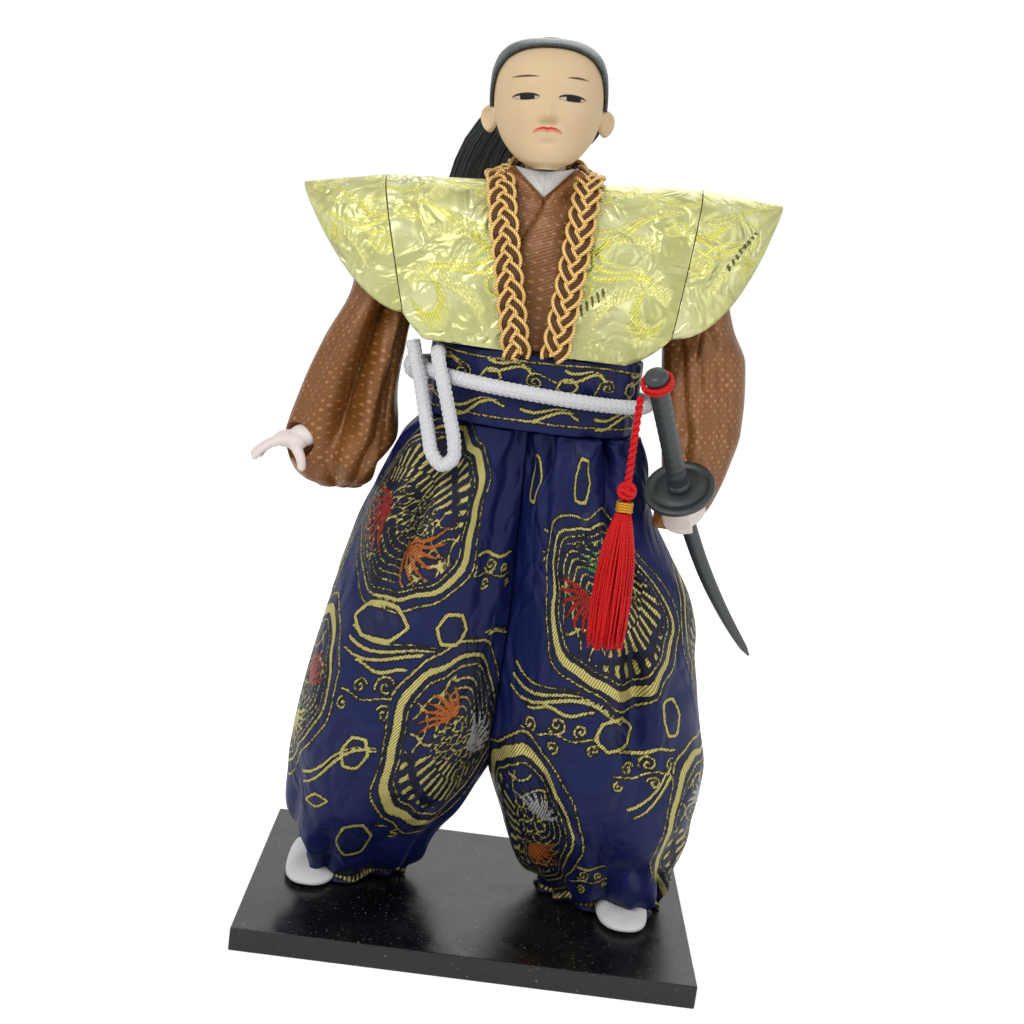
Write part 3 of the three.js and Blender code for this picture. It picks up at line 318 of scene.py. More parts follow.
def joined(pieces, name):
    """Several pieces of one finish as one piece."""
    bm = bmesh.new()
    for piece in pieces:
        bm.from_mesh(piece.data)
    first = pieces[0]
    bm.to_mesh(first.data)
    bm.free()
    for piece in pieces[1:]:
        bpy.data.objects.remove(piece)
    first.name = name
    return first


def cut(bm, spot, way, clear=True):
    """Cuts a shape along the plane at a spot, in metres, and may drop what lies beyond it."""
    bmesh.ops.bisect_plane(bm, geom=bm.verts[:] + bm.edges[:] + bm.faces[:], dist=1e-7, plane_co=spot,
                           plane_no=way, clear_outer=clear)


SKIN_VOXEL = 0.28
SKIN_SMOOTHING = 4


def moulded_from(parts, name):
    """One skin over overlapping parts, as clay is joined and smoothed."""
    piece = joined(parts, name)
    skin = piece.modifiers.new("skin", "REMESH")
    skin.mode = "VOXEL"
    skin.voxel_size = SKIN_VOXEL * MM
    soft = piece.modifiers.new("soft", "SMOOTH")
    soft.iterations = SKIN_SMOOTHING
    soft.factor = 0.5
    done = bpy.data.meshes.new_from_object(piece.evaluated_get(bpy.context.evaluated_depsgraph_get()))
    piece.modifiers.clear()
    piece.data = done
    done.name = name
    done.polygons.foreach_set("use_smooth", np.ones(len(done.polygons), bool))
    return piece


# The trial cloth is run at ten times the size, where the cloth's own figures hold.
TRIAL_SCALE = 10
TRIAL_FRAMES = 22
TRIAL_PRESSURE = 4
# Share of a row's common movement that is taken off again.
GIRTH_KEPT = 0.85


def blown(place, columns, rows, growth, cap):
    """How far each point of a padded piece's coarse grid moves when its cloth is cut too large by growth.

    The cloth is held at both gathered ends and blown out, which puckers it. No point moves further than cap,
    in millimetres.
    """
    moved = np.zeros((rows + 1, columns, 3))
    trial = laid_grid("cloth_trial", place, columns, rows, "copper_dot_satin", (columns, rows))
    mesh = trial.data
    spots = np.rint(cloth_points(mesh)).astype(int)
    start = read_points(mesh)
    write_points(mesh, start * TRIAL_SCALE)
    held = trial.vertex_groups.new(name="held")
    ends = np.flatnonzero((spots[:, 1] <= 1) | (spots[:, 1] >= rows - 1))
    held.add(ends.tolist(), 1.0, "REPLACE")
    cloth = trial.modifiers.new("cloth", "CLOTH")
    cloth.settings.quality = 6
    cloth.settings.vertex_group_mass = "held"
    cloth.settings.shrink_min = -growth
    cloth.settings.use_pressure = True
    cloth.settings.uniform_pressure_force = TRIAL_PRESSURE
    cloth.settings.effector_weights.gravity = 0
    cloth.point_cache.frame_end = TRIAL_FRAMES
    scene = bpy.context.scene
    for number in range(1, TRIAL_FRAMES + 1):
        scene.frame_set(number)
    shaped = trial.evaluated_get(bpy.context.evaluated_depsgraph_get()).data
    away = (read_points(shaped) / TRIAL_SCALE - start) / MM
    bpy.data.objects.remove(trial)
    scene.frame_set(1)
    moved[spots[:, 1], spots[:, 0] % columns] = away
    moved[0], moved[rows] = moved[1], moved[rows - 1]
    # The piece keeps its girth: what every point of a row has in common goes.
    moved -= GIRTH_KEPT * moved.mean(axis=1, keepdims=True)
    angle = np.arange(columns) / columns * TURN
    round_way = np.stack([np.cos(angle), np.sin(angle)], axis=1)
    swelling = (moved[:, :, :2] * round_way).sum(axis=2).mean(axis=1)
    moved[:, :, :2] -= swelling[:, None, None] * round_way
    size = np.linalg.norm(moved, axis=2, keepdims=True)
    return moved * cap * np.tanh(size / cap) / np.maximum(size, 1e-9)


def spread(table, u, v):
    """Smooth values between the points of a coarse grid that closes round."""
    rows, columns = table.shape[0] - 1, table.shape[1]

    def taps(share):
        cell = np.floor(share).astype(int)
        t = share - cell
        weights = ((1 - t) ** 3, 3 * t**3 - 6 * t**2 + 4, -3 * t**3 + 3 * t**2 + 3 * t + 1, t**3)
        return [(cell - 1 + k, weight / 6) for k, weight in enumerate(weights)]

    total = 0
    for row, share_v in taps(v * rows):
        for column, share_u in taps(u * columns):
            spot = table[np.clip(row, 0, rows), column % columns]
            total = total + spot * (share_v * share_u)[:, None]
    return total


def settle(piece, body, slot, *nodes):
    """Rides the piece on its body and hides the solids that it stands for. The finish's slot is not used."""
    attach(piece, body)
    if nodes:
        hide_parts(*nodes)


# The doll's tables, in millimetres.

# The upper body leans to the doll's right about this place. Its tables are in its own upright frame.
WAIST = (-1, 0, 180)
LEAN = math.radians(-4.5)
UPPER = Matrix.Translation(WAIST) @ Matrix.Rotation(LEAN, 4, "Y")
UPPER_TURN = np.array(UPPER.to_3x3())


def lean(points):
    """One or more points of the leaning upper body in the doll's own frame."""
    return np.asarray(points, float) @ UPPER_TURN.T + np.array(WAIST)


def upright(points):
    """Points of the doll's frame in that of the leaning upper body."""
    return (points - np.array(WAIST)) @ UPPER_TURN


# How far a leg's outer and inner edges are from the doll's middle at each height. Below 0 is past the middle.
OUTER_REACH = {
    "right": [[10, 62], [21, 64], [32, 68.5], [45, 70.2], [60, 68.8], [80, 65.8], [111, 59], [135, 54.5],
              [150, 48.5], [163, 42], [174, 36]],
    "left": [[10, 66], [18, 70], [30, 73], [48, 75.2], [61, 75.5], [75, 72.7], [106, 65.2], [122, 59.3],
             [136, 49.8], [150, 41], [163, 37.5], [174, 34.5]],
}
INNER_REACH = {
    "right": [[10, 26], [20, 18], [30, 12], [45, 4.5], [58, -1], [80, -6], [174, -6]],
    "left": [[10, 23], [20, 16], [34, 9], [47, 3.5], [58, -1], [80, -6], [174, -6]],
}
# Where a leg's middle is, front to back, and its half depth, at each height.
LEG_MIDDLE_Y = through([[10, 10], [25, 7], [45, 3], [80, 1], [174, 0]])
LEG_HALF_DEPTH = through([[10, 11], [16, 15], [28, 23], [45, 29], [70, 31.5], [105, 30], [140, 27.5],
                          [174, 24.5]])
LEG_SQUARENESS = 2.3
HEM, LEG_TOP = 8.3, 173.7
LEG_SPLIT_X = -0.5
# A leg, the kimono's body and a sleeve close at both ends over this share of their grid's rows.
LEG_END, SLEEVE_END = 0.02, 0.025
# A fold that starts at or below the first height, or ends at or above the second, runs to the piece's end.
FOLDS_LOW, FOLDS_HIGH = 10, 174
# Angle round the leg in degrees, depth, width in degrees, and the heights each fold runs between.
LEG_FOLDS = {
    "right": [(246, 9, 9, 108, 174), (268, 3, 7, 125, 174), (300, 4.5, 8, 95, 174), (214, 4.5, 10, 10, 60),
              (282, 4.5, 9, 10, 52), (322, 4, 9, 10, 70), (252, 3.5, 8, 10, 40), (120, 4, 12, 60, 174),
              (68, 4, 12, 10, 120), (165, 3.5, 12, 10, 55)],
    "left": [(301, 8, 8, 108, 174), (288, 7, 8, 55, 128), (268, 3, 7, 125, 174), (240, 4, 9, 10, 80),
             (272, 4.5, 9, 10, 52), (318, 4, 9, 10, 45), (296, 3.5, 8, 10, 38), (60, 4, 12, 60, 174),
             (112, 4, 12, 10, 120), (15, 3, 12, 10, 60)],
}

BAND = {"x": -1.5, "low": 174, "high": 198, "half_width": 34.5, "half_depth": 25.5, "thickness": 2}
BAND_SQUARENESS = 2.2
BAND_EDGE_SQUARENESS = 7
BELT = {"half_width": 37.5, "half_depth": 28.5, "height": 186.3, "slope": 0.05, "diameter": 4.8}
BELT_KNOT = {"angle": math.radians(196), "half_angle": 0.1719}
BELT_LOOP_DIAMETER = 4.6
BELT_LOOP_ROUTE = [
    (-32.4, -15.4, 194.2), (-32.7, -20.0, 195.0), (-32.3, -24.0, 193.6), (-31.0, -26.0, 189.6),
    (-29.0, -26.6, 184.0), (-26.4, -27.0, 176.0), (-24.0, -28.0, 168.0), (-23.8, -28.2, 163.0),
    (-27.0, -27.8, 160.6), (-30.4, -26.8, 163.4), (-32.2, -25.2, 168.5), (-34.6, -22.4, 176.5),
    (-37.0, -19.2, 184.5), (-39.6, -16.6, 191.5), (-41.2, -15.0, 196.6),
]
TASSEL_TOP = (28.7993, -60.3557, 193.5135)
TASSEL_CORD_LENGTH = 24.5
# The cord goes on through the knot, down to the binding.
TASSEL_CORD_DRAWN = TASSEL_CORD_LENGTH + 6.6

CHEST_FOOT, CHEST_HEIGHT = -2.4, 69.2
# Half depth and half width of the chest at each height.
CHEST_DEPTH = through([[-3, 18.5], [20, 18.5], [45, 16.0], [58.2, 12.5], [65.2, 8.5], [68, 5], [69.2, 1.5]])
CHEST_WIDTH = through([[-3, 29.5], [22, 30], [45, 35], [58.2, 38], [65.2, 37], [68, 34], [69.2, 30]])
CHEST_SQUARENESS = 2.4

VEST = {"ridge": 70.4, "bottom": 14, "depth": 24.2, "back": 20, "side_depth": 21, "side_back": 17.5}
# The seam between the shoulder cloth and its wing: its x at the lower end and at the ridge.
SEAM_X = (42, 50)
SEAM_LOW_Z = 25
SEAM_HALF_GAP = 0.15
RIGHT_SEAM_RISE = 4
ARCH_POWER = 2 / 2.8
WING_REACH = 76
WING_TIP_DROP = 3.5
# The plaited edging's x at the lower end and at the ridge.
BRAID_X = (5.3, 14)
BRAID_WIDTH = 8.5

CHIN_Z = 74.6
HEAD_HEIGHT = 39
HEAD_HALF_WIDTH = 17.3
# Share of the half width, and reach to the front and to the back, at each share of the head's height.
HEAD_WIDTH = through([[0, 0.22], [0.06, 0.48], [0.14, 0.67], [0.24, 0.83], [0.34, 0.925], [0.45, 0.985],
                      [0.58, 1], [0.72, 0.98], [0.84, 0.89], [0.93, 0.7], [0.985, 0.38], [1, 0.1]])
HEAD_FRONT = through([[0, 15.5], [0.06, 17], [0.2, 17.8], [0.45, 18.2], [0.65, 18], [0.8, 16.2], [0.9, 12.8],
                      [0.97, 7.6], [1, 2]])
HEAD_BACK = through([[0, -5], [0.06, -1], [0.16, 6], [0.26, 13], [0.42, 17.2], [0.6, 18.8], [0.78, 17.6],
                     [0.9, 13.4], [0.97, 8], [1, 2]])
HEAD_SQUARENESS = 2.15
HAIR_THICKNESS = 1.1
SEAT_GAP = 0.3

GUARD_MIDDLE = np.array([46.8, -31.5, -20.3])
GRIP_WAY = np.array([-10.9, -25, 34.5]) / np.linalg.norm([-10.9, -25, 34.5])
# The fist's middle in the sword's own frame, below the guard.
FIST_DOWN = 9.1
FIST_MIDDLE = (0.3, 0, -FIST_DOWN)
GRIP_LENGTH = 49
GRIP_RADIUS = 3.15
SCABBARD = {"length": 88, "width": 5.2, "thickness": 3.6, "radius": 330}


# Colours and sizes that a user would change.


def colour_property(name, code, description):
    return FloatVectorProperty(
        name=name, description=description, default=linear(code), size=3, min=0, max=1, subtype="COLOR"
    )


def length_property(name, length, low, high, description):
    return FloatProperty(
        name=name, description=description, default=length, min=low, max=high, unit="LENGTH"
    )


class DollColours(bpy.types.PropertyGroup):
    """Colours of the doll's cloths, threads and paints."""

    navy: colour_property("Navy satin", "0c1748", "Ground of the trousers' brocade")
    brocade_gold: colour_property("Brocade gold", "d3c97e", "Gold thread woven into the navy satin")
    vest: colour_property("Pale gold", "b0b16e", "Ground of the shoulder cloth")
    vest_bright: colour_property("Bright gold", "e9e56a", "Woven figures of the shoulder cloth")
    satin: colour_property("Brown satin", "6e4418", "Kimono satin")
    satin_dot: colour_property("Copper dots", "a87443", "Small dots woven into the kimono satin")
    braid_gold: colour_property("Braid gold", "fbdc92", "Gold cords of the plaited edging")
    braid_brown: colour_property("Braid brown", "6b4322", "Brown strands of the plaited edging")
    skin: colour_property("Face", "dac09a", "Moulded face")
    hands: colour_property("Hands", "eaded8", "Moulded hands")
    hair: colour_property("Hair", "15181a", "Ponytail hair")
    tassel: colour_property("Tassel red", "e31212", "Silk of the tassel")
    white: colour_property("White cloth", "e9e8e6", "Socks and inner collar")
    board: colour_property("Board", "0a0a0b", "Lacquer of the board")


class DollSizes(bpy.types.PropertyGroup):
    """Sizes and counts of the doll's small work."""

    fold_depth: length_property("Fold depth", 0.0016, 0, 0.004, "Depth of the small folds of the trousers")
    stitch: length_property("Knit stitch", 0.0019, 0.001, 0.004, "Height of a stitch of the knitted cord")
    plait: length_property("Plait", 0.0165, 0.008, 0.03, "Length of one full plait of the edging")
    hairs: IntProperty(
        name="Hairs", description="Strands laid over the ponytail", default=150, min=20, max=400
    )
    tassel_threads: IntProperty(
        name="Tassel threads", description="Threads of the tassel's skirt", default=170, min=30, max=300
    )


# Materials.


def add(tree, kind, inputs=None, **settings):
    """Adds a node with its settings and its inputs."""
    made = tree.nodes.new(kind)
    for key, value in settings.items():
        setattr(made, key, value)
    connect(tree, made, inputs or {})
    return made


def connect(tree, node, inputs):
    """Gives a node's inputs a value, a link to a socket, or a link to another node's result."""
    for key, value in inputs.items():
        if isinstance(value, bpy.types.Node):
            # A colour mix has its result in the third place, after a number's and a vector's.
            value = value.outputs[2 if value.bl_idname == "ShaderNodeMix" else 0]
        if isinstance(value, bpy.types.NodeSocket):
            tree.links.new(value, node.inputs[key])
        else:
            node.inputs[key].default_value = value


def new_material(name):
    """A new material's node tree, and the shader that gives its surface."""
    material = bpy.data.materials.new(name)
    material.use_nodes = True
    tree = material.node_tree
    tree.nodes.clear()
    shader = add(tree, "ShaderNodeBsdfPrincipled")
    add(tree, "ShaderNodeOutputMaterial", {"Surface": shader})
    return tree, shader


def object_coordinates(tree, scale=(1, 1, 1)):
    place = add(tree, "ShaderNodeTexCoord")
    return add(tree, "ShaderNodeMapping", {"Vector": place.outputs["Object"], "Scale": scale})


def cloth_coordinates(tree, scale=(1, 1, 1), turn=0.0):
    place = add(tree, "ShaderNodeUVMap", uv_map="cloth")
    return add(tree, "ShaderNodeMapping", {"Vector": place, "Scale": scale, "Rotation": (0, 0, turn)})


def weave_height(tree, pitch, turn=0.6):
    """Diagonal ribs of a twill, pitch apart in metres."""
    where = cloth_coordinates(tree, turn=turn)
    ribs = {"Vector": where, "Scale": TURN / (20 * pitch), "Distortion": 0.6, "Detail": 1.0}
    return add(tree, "ShaderNodeTexWave", ribs, wave_type="BANDS", bands_direction="X").outputs["Fac"]


def crumpled(tree, scale, depth, stretch=(1, 1, 0.6)):
    """Creases that run into each other, as cloth keeps them once it has been pressed together."""
    where = object_coordinates(tree, stretch)
    wrinkles = add(tree, "ShaderNodeTexNoise",
                   {"Vector": where, "Scale": scale, "Detail": 2.5, "Distortion": 0.7})
    from_crease = add(tree, "ShaderNodeMath", {0: wrinkles, 1: 0.5}, operation="SUBTRACT")
    away = add(tree, "ShaderNodeMath", {0: from_crease}, operation="ABSOLUTE")
    return add(tree, "ShaderNodeBump", {"Strength": 0.8, "Distance": depth, "Height": away})


def brocade(tree, ground, thread, edge, rough, rib, shadow, creased):
    """Smooth satin ground, with raised, ribbed, dark-edged metal thread where the threads field is low."""
    field = add(tree, "ShaderNodeAttribute", attribute_name="threads").outputs["Fac"]
    weave = weave_height(tree, rib)
    worn = add(tree, "ShaderNodeTexNoise", {"Vector": cloth_coordinates(tree), "Scale": 900.0, "Detail": 2.0})
    frayed = add(tree, "ShaderNodeMath", {0: worn, 1: 0.85, 2: field}, operation="MULTIPLY_ADD")
    mask = add(tree, "ShaderNodeMapRange", {"Value": frayed, "From Min": 0.4, "From Max": 0.22})
    beside = add(tree, "ShaderNodeMapRange", {"Value": frayed, "From Min": 0.98, "From Max": 0.8})
    edged = add(tree, "ShaderNodeMix", {"Factor": beside, 6: ground, 7: edge}, data_type="RGBA")
    shade = add(tree, "ShaderNodeMix", {"Factor": weave, 6: shadow, 7: (1, 1, 1, 1)}, data_type="RGBA")
    lit_thread = add(tree, "ShaderNodeMix", {"Factor": 1.0, 6: thread, 7: shade}, data_type="RGBA",
                     blend_type="MULTIPLY")
    mixed = add(tree, "ShaderNodeMix", {"Factor": mask, 6: edged, 7: lit_thread}, data_type="RGBA")
    ribs = add(tree, "ShaderNodeMath", {0: weave, 1: 0.5, 2: 1.0}, operation="MULTIPLY_ADD")
    raised = add(tree, "ShaderNodeMath", {0: mask, 1: ribs}, operation="MULTIPLY")
    bump = add(tree, "ShaderNodeBump",
               {"Strength": 0.5, "Distance": 0.0003, "Height": raised, "Normal": creased})
    dull = add(tree, "ShaderNodeMapRange", {"Value": mask, "To Min": rough, "To Max": 0.4})
    metal = add(tree, "ShaderNodeMapRange", {"Value": mask, "To Max": 0.35})
    return {"Base Color": mixed, "Roughness": dull, "Metallic": metal, "Normal": bump}


def navy_brocade():
    """Navy satin with gold and coloured metal thread: smooth dark ground, ribbed shiny threads."""
    tree, shader = new_material("navy_silk_brocade")
    ground = add(tree, "ShaderNodeAttribute", attribute_name="ground")
    thread = add(tree, "ShaderNodeAttribute", attribute_name="thread_colour")
    found = brocade(tree, ground, thread, rgba("080a16"), 0.5, 0.0008, (0.3, 0.27, 0.2, 1),
                    crumpled(tree, 48.0, 0.009))
    connect(tree, shader, {**found, "Specular IOR Level": 0.22})


def vest_brocade():
    """Pale gold lame: shiny flat metal thread with brighter figures, and painted dark glints between threads
    where the metal turns from the light.
    """
    tree, shader = new_material("vest_brocade")
    # Painted dark glints: thin dark streaks in patches, where the metal would reflect little light.
    glints = add(tree, "ShaderNodeTexNoise",
                 {"Vector": cloth_coordinates(tree, (260, 1100, 1), 0.7), "Scale": 1.0, "Detail": 3.0})
    dark = add(tree, "ShaderNodeMapRange", {"Value": glints, "From Min": 0.6, "From Max": 0.72})
    patches = add(tree, "ShaderNodeTexNoise",
                  {"Vector": cloth_coordinates(tree), "Scale": 70.0, "Detail": 2.0})
    where = add(tree, "ShaderNodeMapRange", {"Value": patches, "From Min": 0.52, "From Max": 0.7})
    glint = add(tree, "ShaderNodeMath", {0: dark, 1: where}, operation="MULTIPLY")
    pale = add(tree, "ShaderNodeAttribute", attribute_name="ground")
    ground = add(tree, "ShaderNodeMix", {"Factor": glint, 6: pale, 7: rgba("5b5e30")}, data_type="RGBA")
    thread = add(tree, "ShaderNodeAttribute", attribute_name="thread_colour")
    found = brocade(tree, ground, thread, rgba("c6c683"), 0.34, 0.001, (0.66, 0.64, 0.45, 1),
                    crumpled(tree, 85.0, 0.006, (1, 1, 1)))
    connect(tree, shader, {**found, "Metallic": 0.45, "Specular IOR Level": 0.6})


def brown_satin(satin, satin_dot):
    """Brown satin with small copper dots: soft long highlights, dots that stand out a little."""
    tree, shader = new_material("copper_dot_satin")
    dots = add(tree, "ShaderNodeTexVoronoi",
               {"Vector": cloth_coordinates(tree, turn=math.pi / 4), "Scale": 1 / 0.0024, "Randomness": 0.0})
    worn = add(tree, "ShaderNodeTexNoise", {"Vector": cloth_coordinates(tree), "Scale": 160.0})
    size = add(tree, "ShaderNodeMath", {0: worn, 1: 0.6, 2: dots}, operation="MULTIPLY_ADD")
    dot = add(tree, "ShaderNodeMapRange", {"Value": size, "From Min": 0.5, "From Max": 0.4})
    tone = add(tree, "ShaderNodeTexNoise",
               {"Vector": cloth_coordinates(tree, (1, 0.4, 1)), "Scale": 90.0, "Detail": 3.0})
    ground = add(tree, "ShaderNodeMix", {"Factor": tone, 6: rgba(satin), 7: rgba("83511f")}, data_type="RGBA")
    mixed = add(tree, "ShaderNodeMix", {"Factor": dot, 6: ground, 7: rgba(satin_dot)}, data_type="RGBA")
    height = add(tree, "ShaderNodeMath", {0: dot, 1: 0.8, 2: weave_height(tree, 0.0008)},
                 operation="MULTIPLY_ADD")
    bump = add(tree, "ShaderNodeBump", {"Strength": 0.16, "Distance": 0.0003, "Height": height,
                                        "Normal": crumpled(tree, 34.0, 0.012, (1, 1, 0.35))})
    connect(tree, shader, {"Base Color": mixed, "Roughness": 0.42, "Normal": bump, "Metallic": 0.2})


def woven_cotton(name, pale, pitch):
    """Plain cotton: matt, with a fine even weave."""
    tree, shader = new_material(name)
    weave = weave_height(tree, pitch, 0.8)
    tone = add(tree, "ShaderNodeTexNoise",
               {"Vector": object_coordinates(tree), "Scale": 120.0, "Detail": 4.0})
    mixed = add(tree, "ShaderNodeMix", {"Factor": tone, 6: rgba(pale), 7: rgba("d6d4d2")}, data_type="RGBA")
    bump = add(tree, "ShaderNodeBump", {"Strength": 0.25, "Distance": 0.0002, "Height": weave})
    connect(tree, shader, {"Base Color": mixed, "Roughness": 0.85, "Normal": bump, "Sheen Weight": 0.2})


def spun_thread(name, light, shade, pitch, roughness, metallic=0.0):
    """Twisted thread: short slanting ply lines, darker between the plies."""
    tree, shader = new_material(name)
    plies = weave_height(tree, pitch, 0.9)
    mixed = add(tree, "ShaderNodeMix", {"Factor": plies, 6: rgba(shade), 7: rgba(light)}, data_type="RGBA")
    bump = add(tree, "ShaderNodeBump", {"Strength": 0.5, "Distance": 0.0003, "Height": plies})
    connect(tree, shader, {"Base Color": mixed, "Roughness": roughness, "Metallic": metallic,
                           "Normal": bump, "Specular IOR Level": 0.25})


def lacquered_board(lacquer):
    """Black lacquer on board: glossy, with faint scuffs that dull it in patches and specks of dust."""
    tree, shader = new_material("black_lacquer")
    scuffs = add(tree, "ShaderNodeTexNoise",
                 {"Vector": object_coordinates(tree), "Scale": 45.0, "Detail": 8.0, "Roughness": 0.65})
    dust = add(tree, "ShaderNodeTexNoise",
               {"Vector": object_coordinates(tree), "Scale": 900.0, "Detail": 2.0})
    speck = add(tree, "ShaderNodeMapRange", {"Value": dust, "From Min": 0.66, "From Max": 0.74})
    rough = add(tree, "ShaderNodeMapRange",
                {"Value": scuffs, "From Min": 0.35, "From Max": 0.7, "To Min": 0.16, "To Max": 0.42})
    mixed = add(tree, "ShaderNodeMix", {"Factor": speck, 6: rgba(lacquer), 7: rgba("6b6b6c")},
                data_type="RGBA")
    connect(tree, shader, {"Base Color": mixed, "Roughness": rough, "Specular IOR Level": 0.45})


def moulded(name, plain, roughness, speckle, amount):
    """Moulded soft plastic: even, with the faint mottling of paint over a mould."""
    tree, shader = new_material(name)
    tone = add(tree, "ShaderNodeTexNoise",
               {"Vector": object_coordinates(tree), "Scale": 260.0, "Detail": 4.0})
    share = add(tree, "ShaderNodeMath", {0: tone, 1: amount}, operation="MULTIPLY")
    mixed = add(tree, "ShaderNodeMix", {"Factor": share, 6: rgba(plain), 7: rgba(speckle)},
                data_type="RGBA")
    bump = add(tree, "ShaderNodeBump", {"Strength": 0.15, "Distance": 0.0002, "Height": tone})
    connect(tree, shader, {"Base Color": mixed, "Roughness": roughness, "Normal": bump})


# Each painted feature's colour, the softness of its edge in millimetres, and how fully it covers the skin.
# nose_shade is painted shade under the nose.
FACE_PAINT = {
    "blush": ("d99a8c", 1.0, 0.12), "nose_shade": ("b3986c", 1.2, 0.45), "lip": ("d98f7c", 0.25, 1.0),
    "eye_white": ("c4b5a0", 0.2, 1.0), "iris": ("070403", 0.12, 1.0), "lid": ("140b08", 0.12, 1.0),
    "mouth": ("c8301f", 0.14, 1.0), "brow": ("5a4030", 0.14, 1.0),
}


def painted_face(skin):
    """Moulded face with painted features: matt skin, slightly glossy eyes."""
    tree, shader = new_material("painted_face")
    tone = add(tree, "ShaderNodeTexNoise",
               {"Vector": object_coordinates(tree), "Scale": 90.0, "Detail": 3.0})
    share = add(tree, "ShaderNodeMath", {0: tone, 1: 0.12}, operation="MULTIPLY")
    found = add(tree, "ShaderNodeMix", {"Factor": share, 6: rgba(skin), 7: rgba("cfa67c")}, data_type="RGBA")
    for name, (code, soft, cover) in FACE_PAINT.items():
        field = add(tree, "ShaderNodeAttribute", attribute_name=name).outputs["Fac"]
        mask = add(tree, "ShaderNodeMapRange",
                   {"Value": field, "From Min": soft, "From Max": -soft, "To Max": cover})
        found = add(tree, "ShaderNodeMix", {"Factor": mask, 6: found, 7: rgba(code)}, data_type="RGBA")
    connect(tree, shader, {"Base Color": found, "Roughness": 0.5, "Specular IOR Level": 0.2,
                           "Subsurface Weight": 0.08, "Subsurface Radius": (0.002, 0.001, 0.0006)})


def combed_hair(name, dark, light, pitch, roughness):
    """Combed silk hair: fine strands side by side, with lighter lines painted in as highlights where the
    strands catch the light.
    """
    tree, shader = new_material(name)
    where = cloth_coordinates(tree, (1 / pitch, 12, 1))
    strands = add(tree, "ShaderNodeTexNoise",
                  {"Vector": where, "Scale": 1.0, "Detail": 3.0, "Roughness": 0.6})
    strand = add(tree, "ShaderNodeMapRange", {"Value": strands, "From Min": 0.35, "From Max": 0.7})
    mixed = add(tree, "ShaderNodeMix", {"Factor": strand, 6: rgba(dark), 7: rgba(light)}, data_type="RGBA")
    bump = add(tree, "ShaderNodeBump", {"Strength": 0.5, "Distance": 0.0003, "Height": strands})
    connect(tree, shader, {"Base Color": mixed, "Roughness": roughness, "Normal": bump})


def make_materials(colours):
    navy_brocade()
    vest_brocade()
    brown_satin(colours.satin, colours.satin_dot)
    lacquered_board(colours.board)
    painted_face(colours.skin)
    woven_cotton("sock_cotton", colours.white, 0.0009)
    woven_cotton("collar_cotton", colours.white, 0.0008)
    spun_thread("knitted_white", "f0f0f2", "c9c9ce", 0.0007, 0.8)
    spun_thread("braid_gold", colours.braid_gold, "bd8c46", 0.0008, 0.38, metallic=0.35)
    spun_thread("braid_brown", colours.braid_brown, "3c2413", 0.0007, 0.42)
    spun_thread("tassel_silk", colours.tassel, "b81014", 0.0008, 0.5)
    spun_thread("binding_gold", "e8ad2c", "8a5a12", 0.0007, 0.35, metallic=0.5)
    moulded("hand_plastic", colours.hands, 0.55, "8a8078", 0.06)
    moulded("sword_plastic", "262b2d", 0.36, "5a6266", 0.15)
    moulded("plain_skin", colours.skin, 0.5, "cfa67c", 0.12)
    moulded("wire_steel", "8d9094", 0.4, "5a5c60", 0.3)
    moulded("dowel_pine", "c9a878", 0.7, "8f6f42", 0.4)
    combed_hair("cap_hair", "23292b", "515b5e", 0.00035, 0.42)
    combed_hair("tail_hair", colours.hair, "3a4145", 0.0003, 0.38)


# Figures woven into the cloth. Fields give the distance from a thread's edge, in millimetres.

GOLD, SILVER, RED, ORANGE, GREEN = "d3c97e", "b9b9bd", "a8241a", "bf6a30", "3f8a50"
# Grounds of the small closed figures and of the roundels.
FIGURE_GROUND, ROUNDEL_GROUND = "131a3c", "12183f"
# A distance that counts as bare of thread.
BARE = 9.0
# Thread is coloured this far beyond its edge.
COLOUR_REACH = 0.25


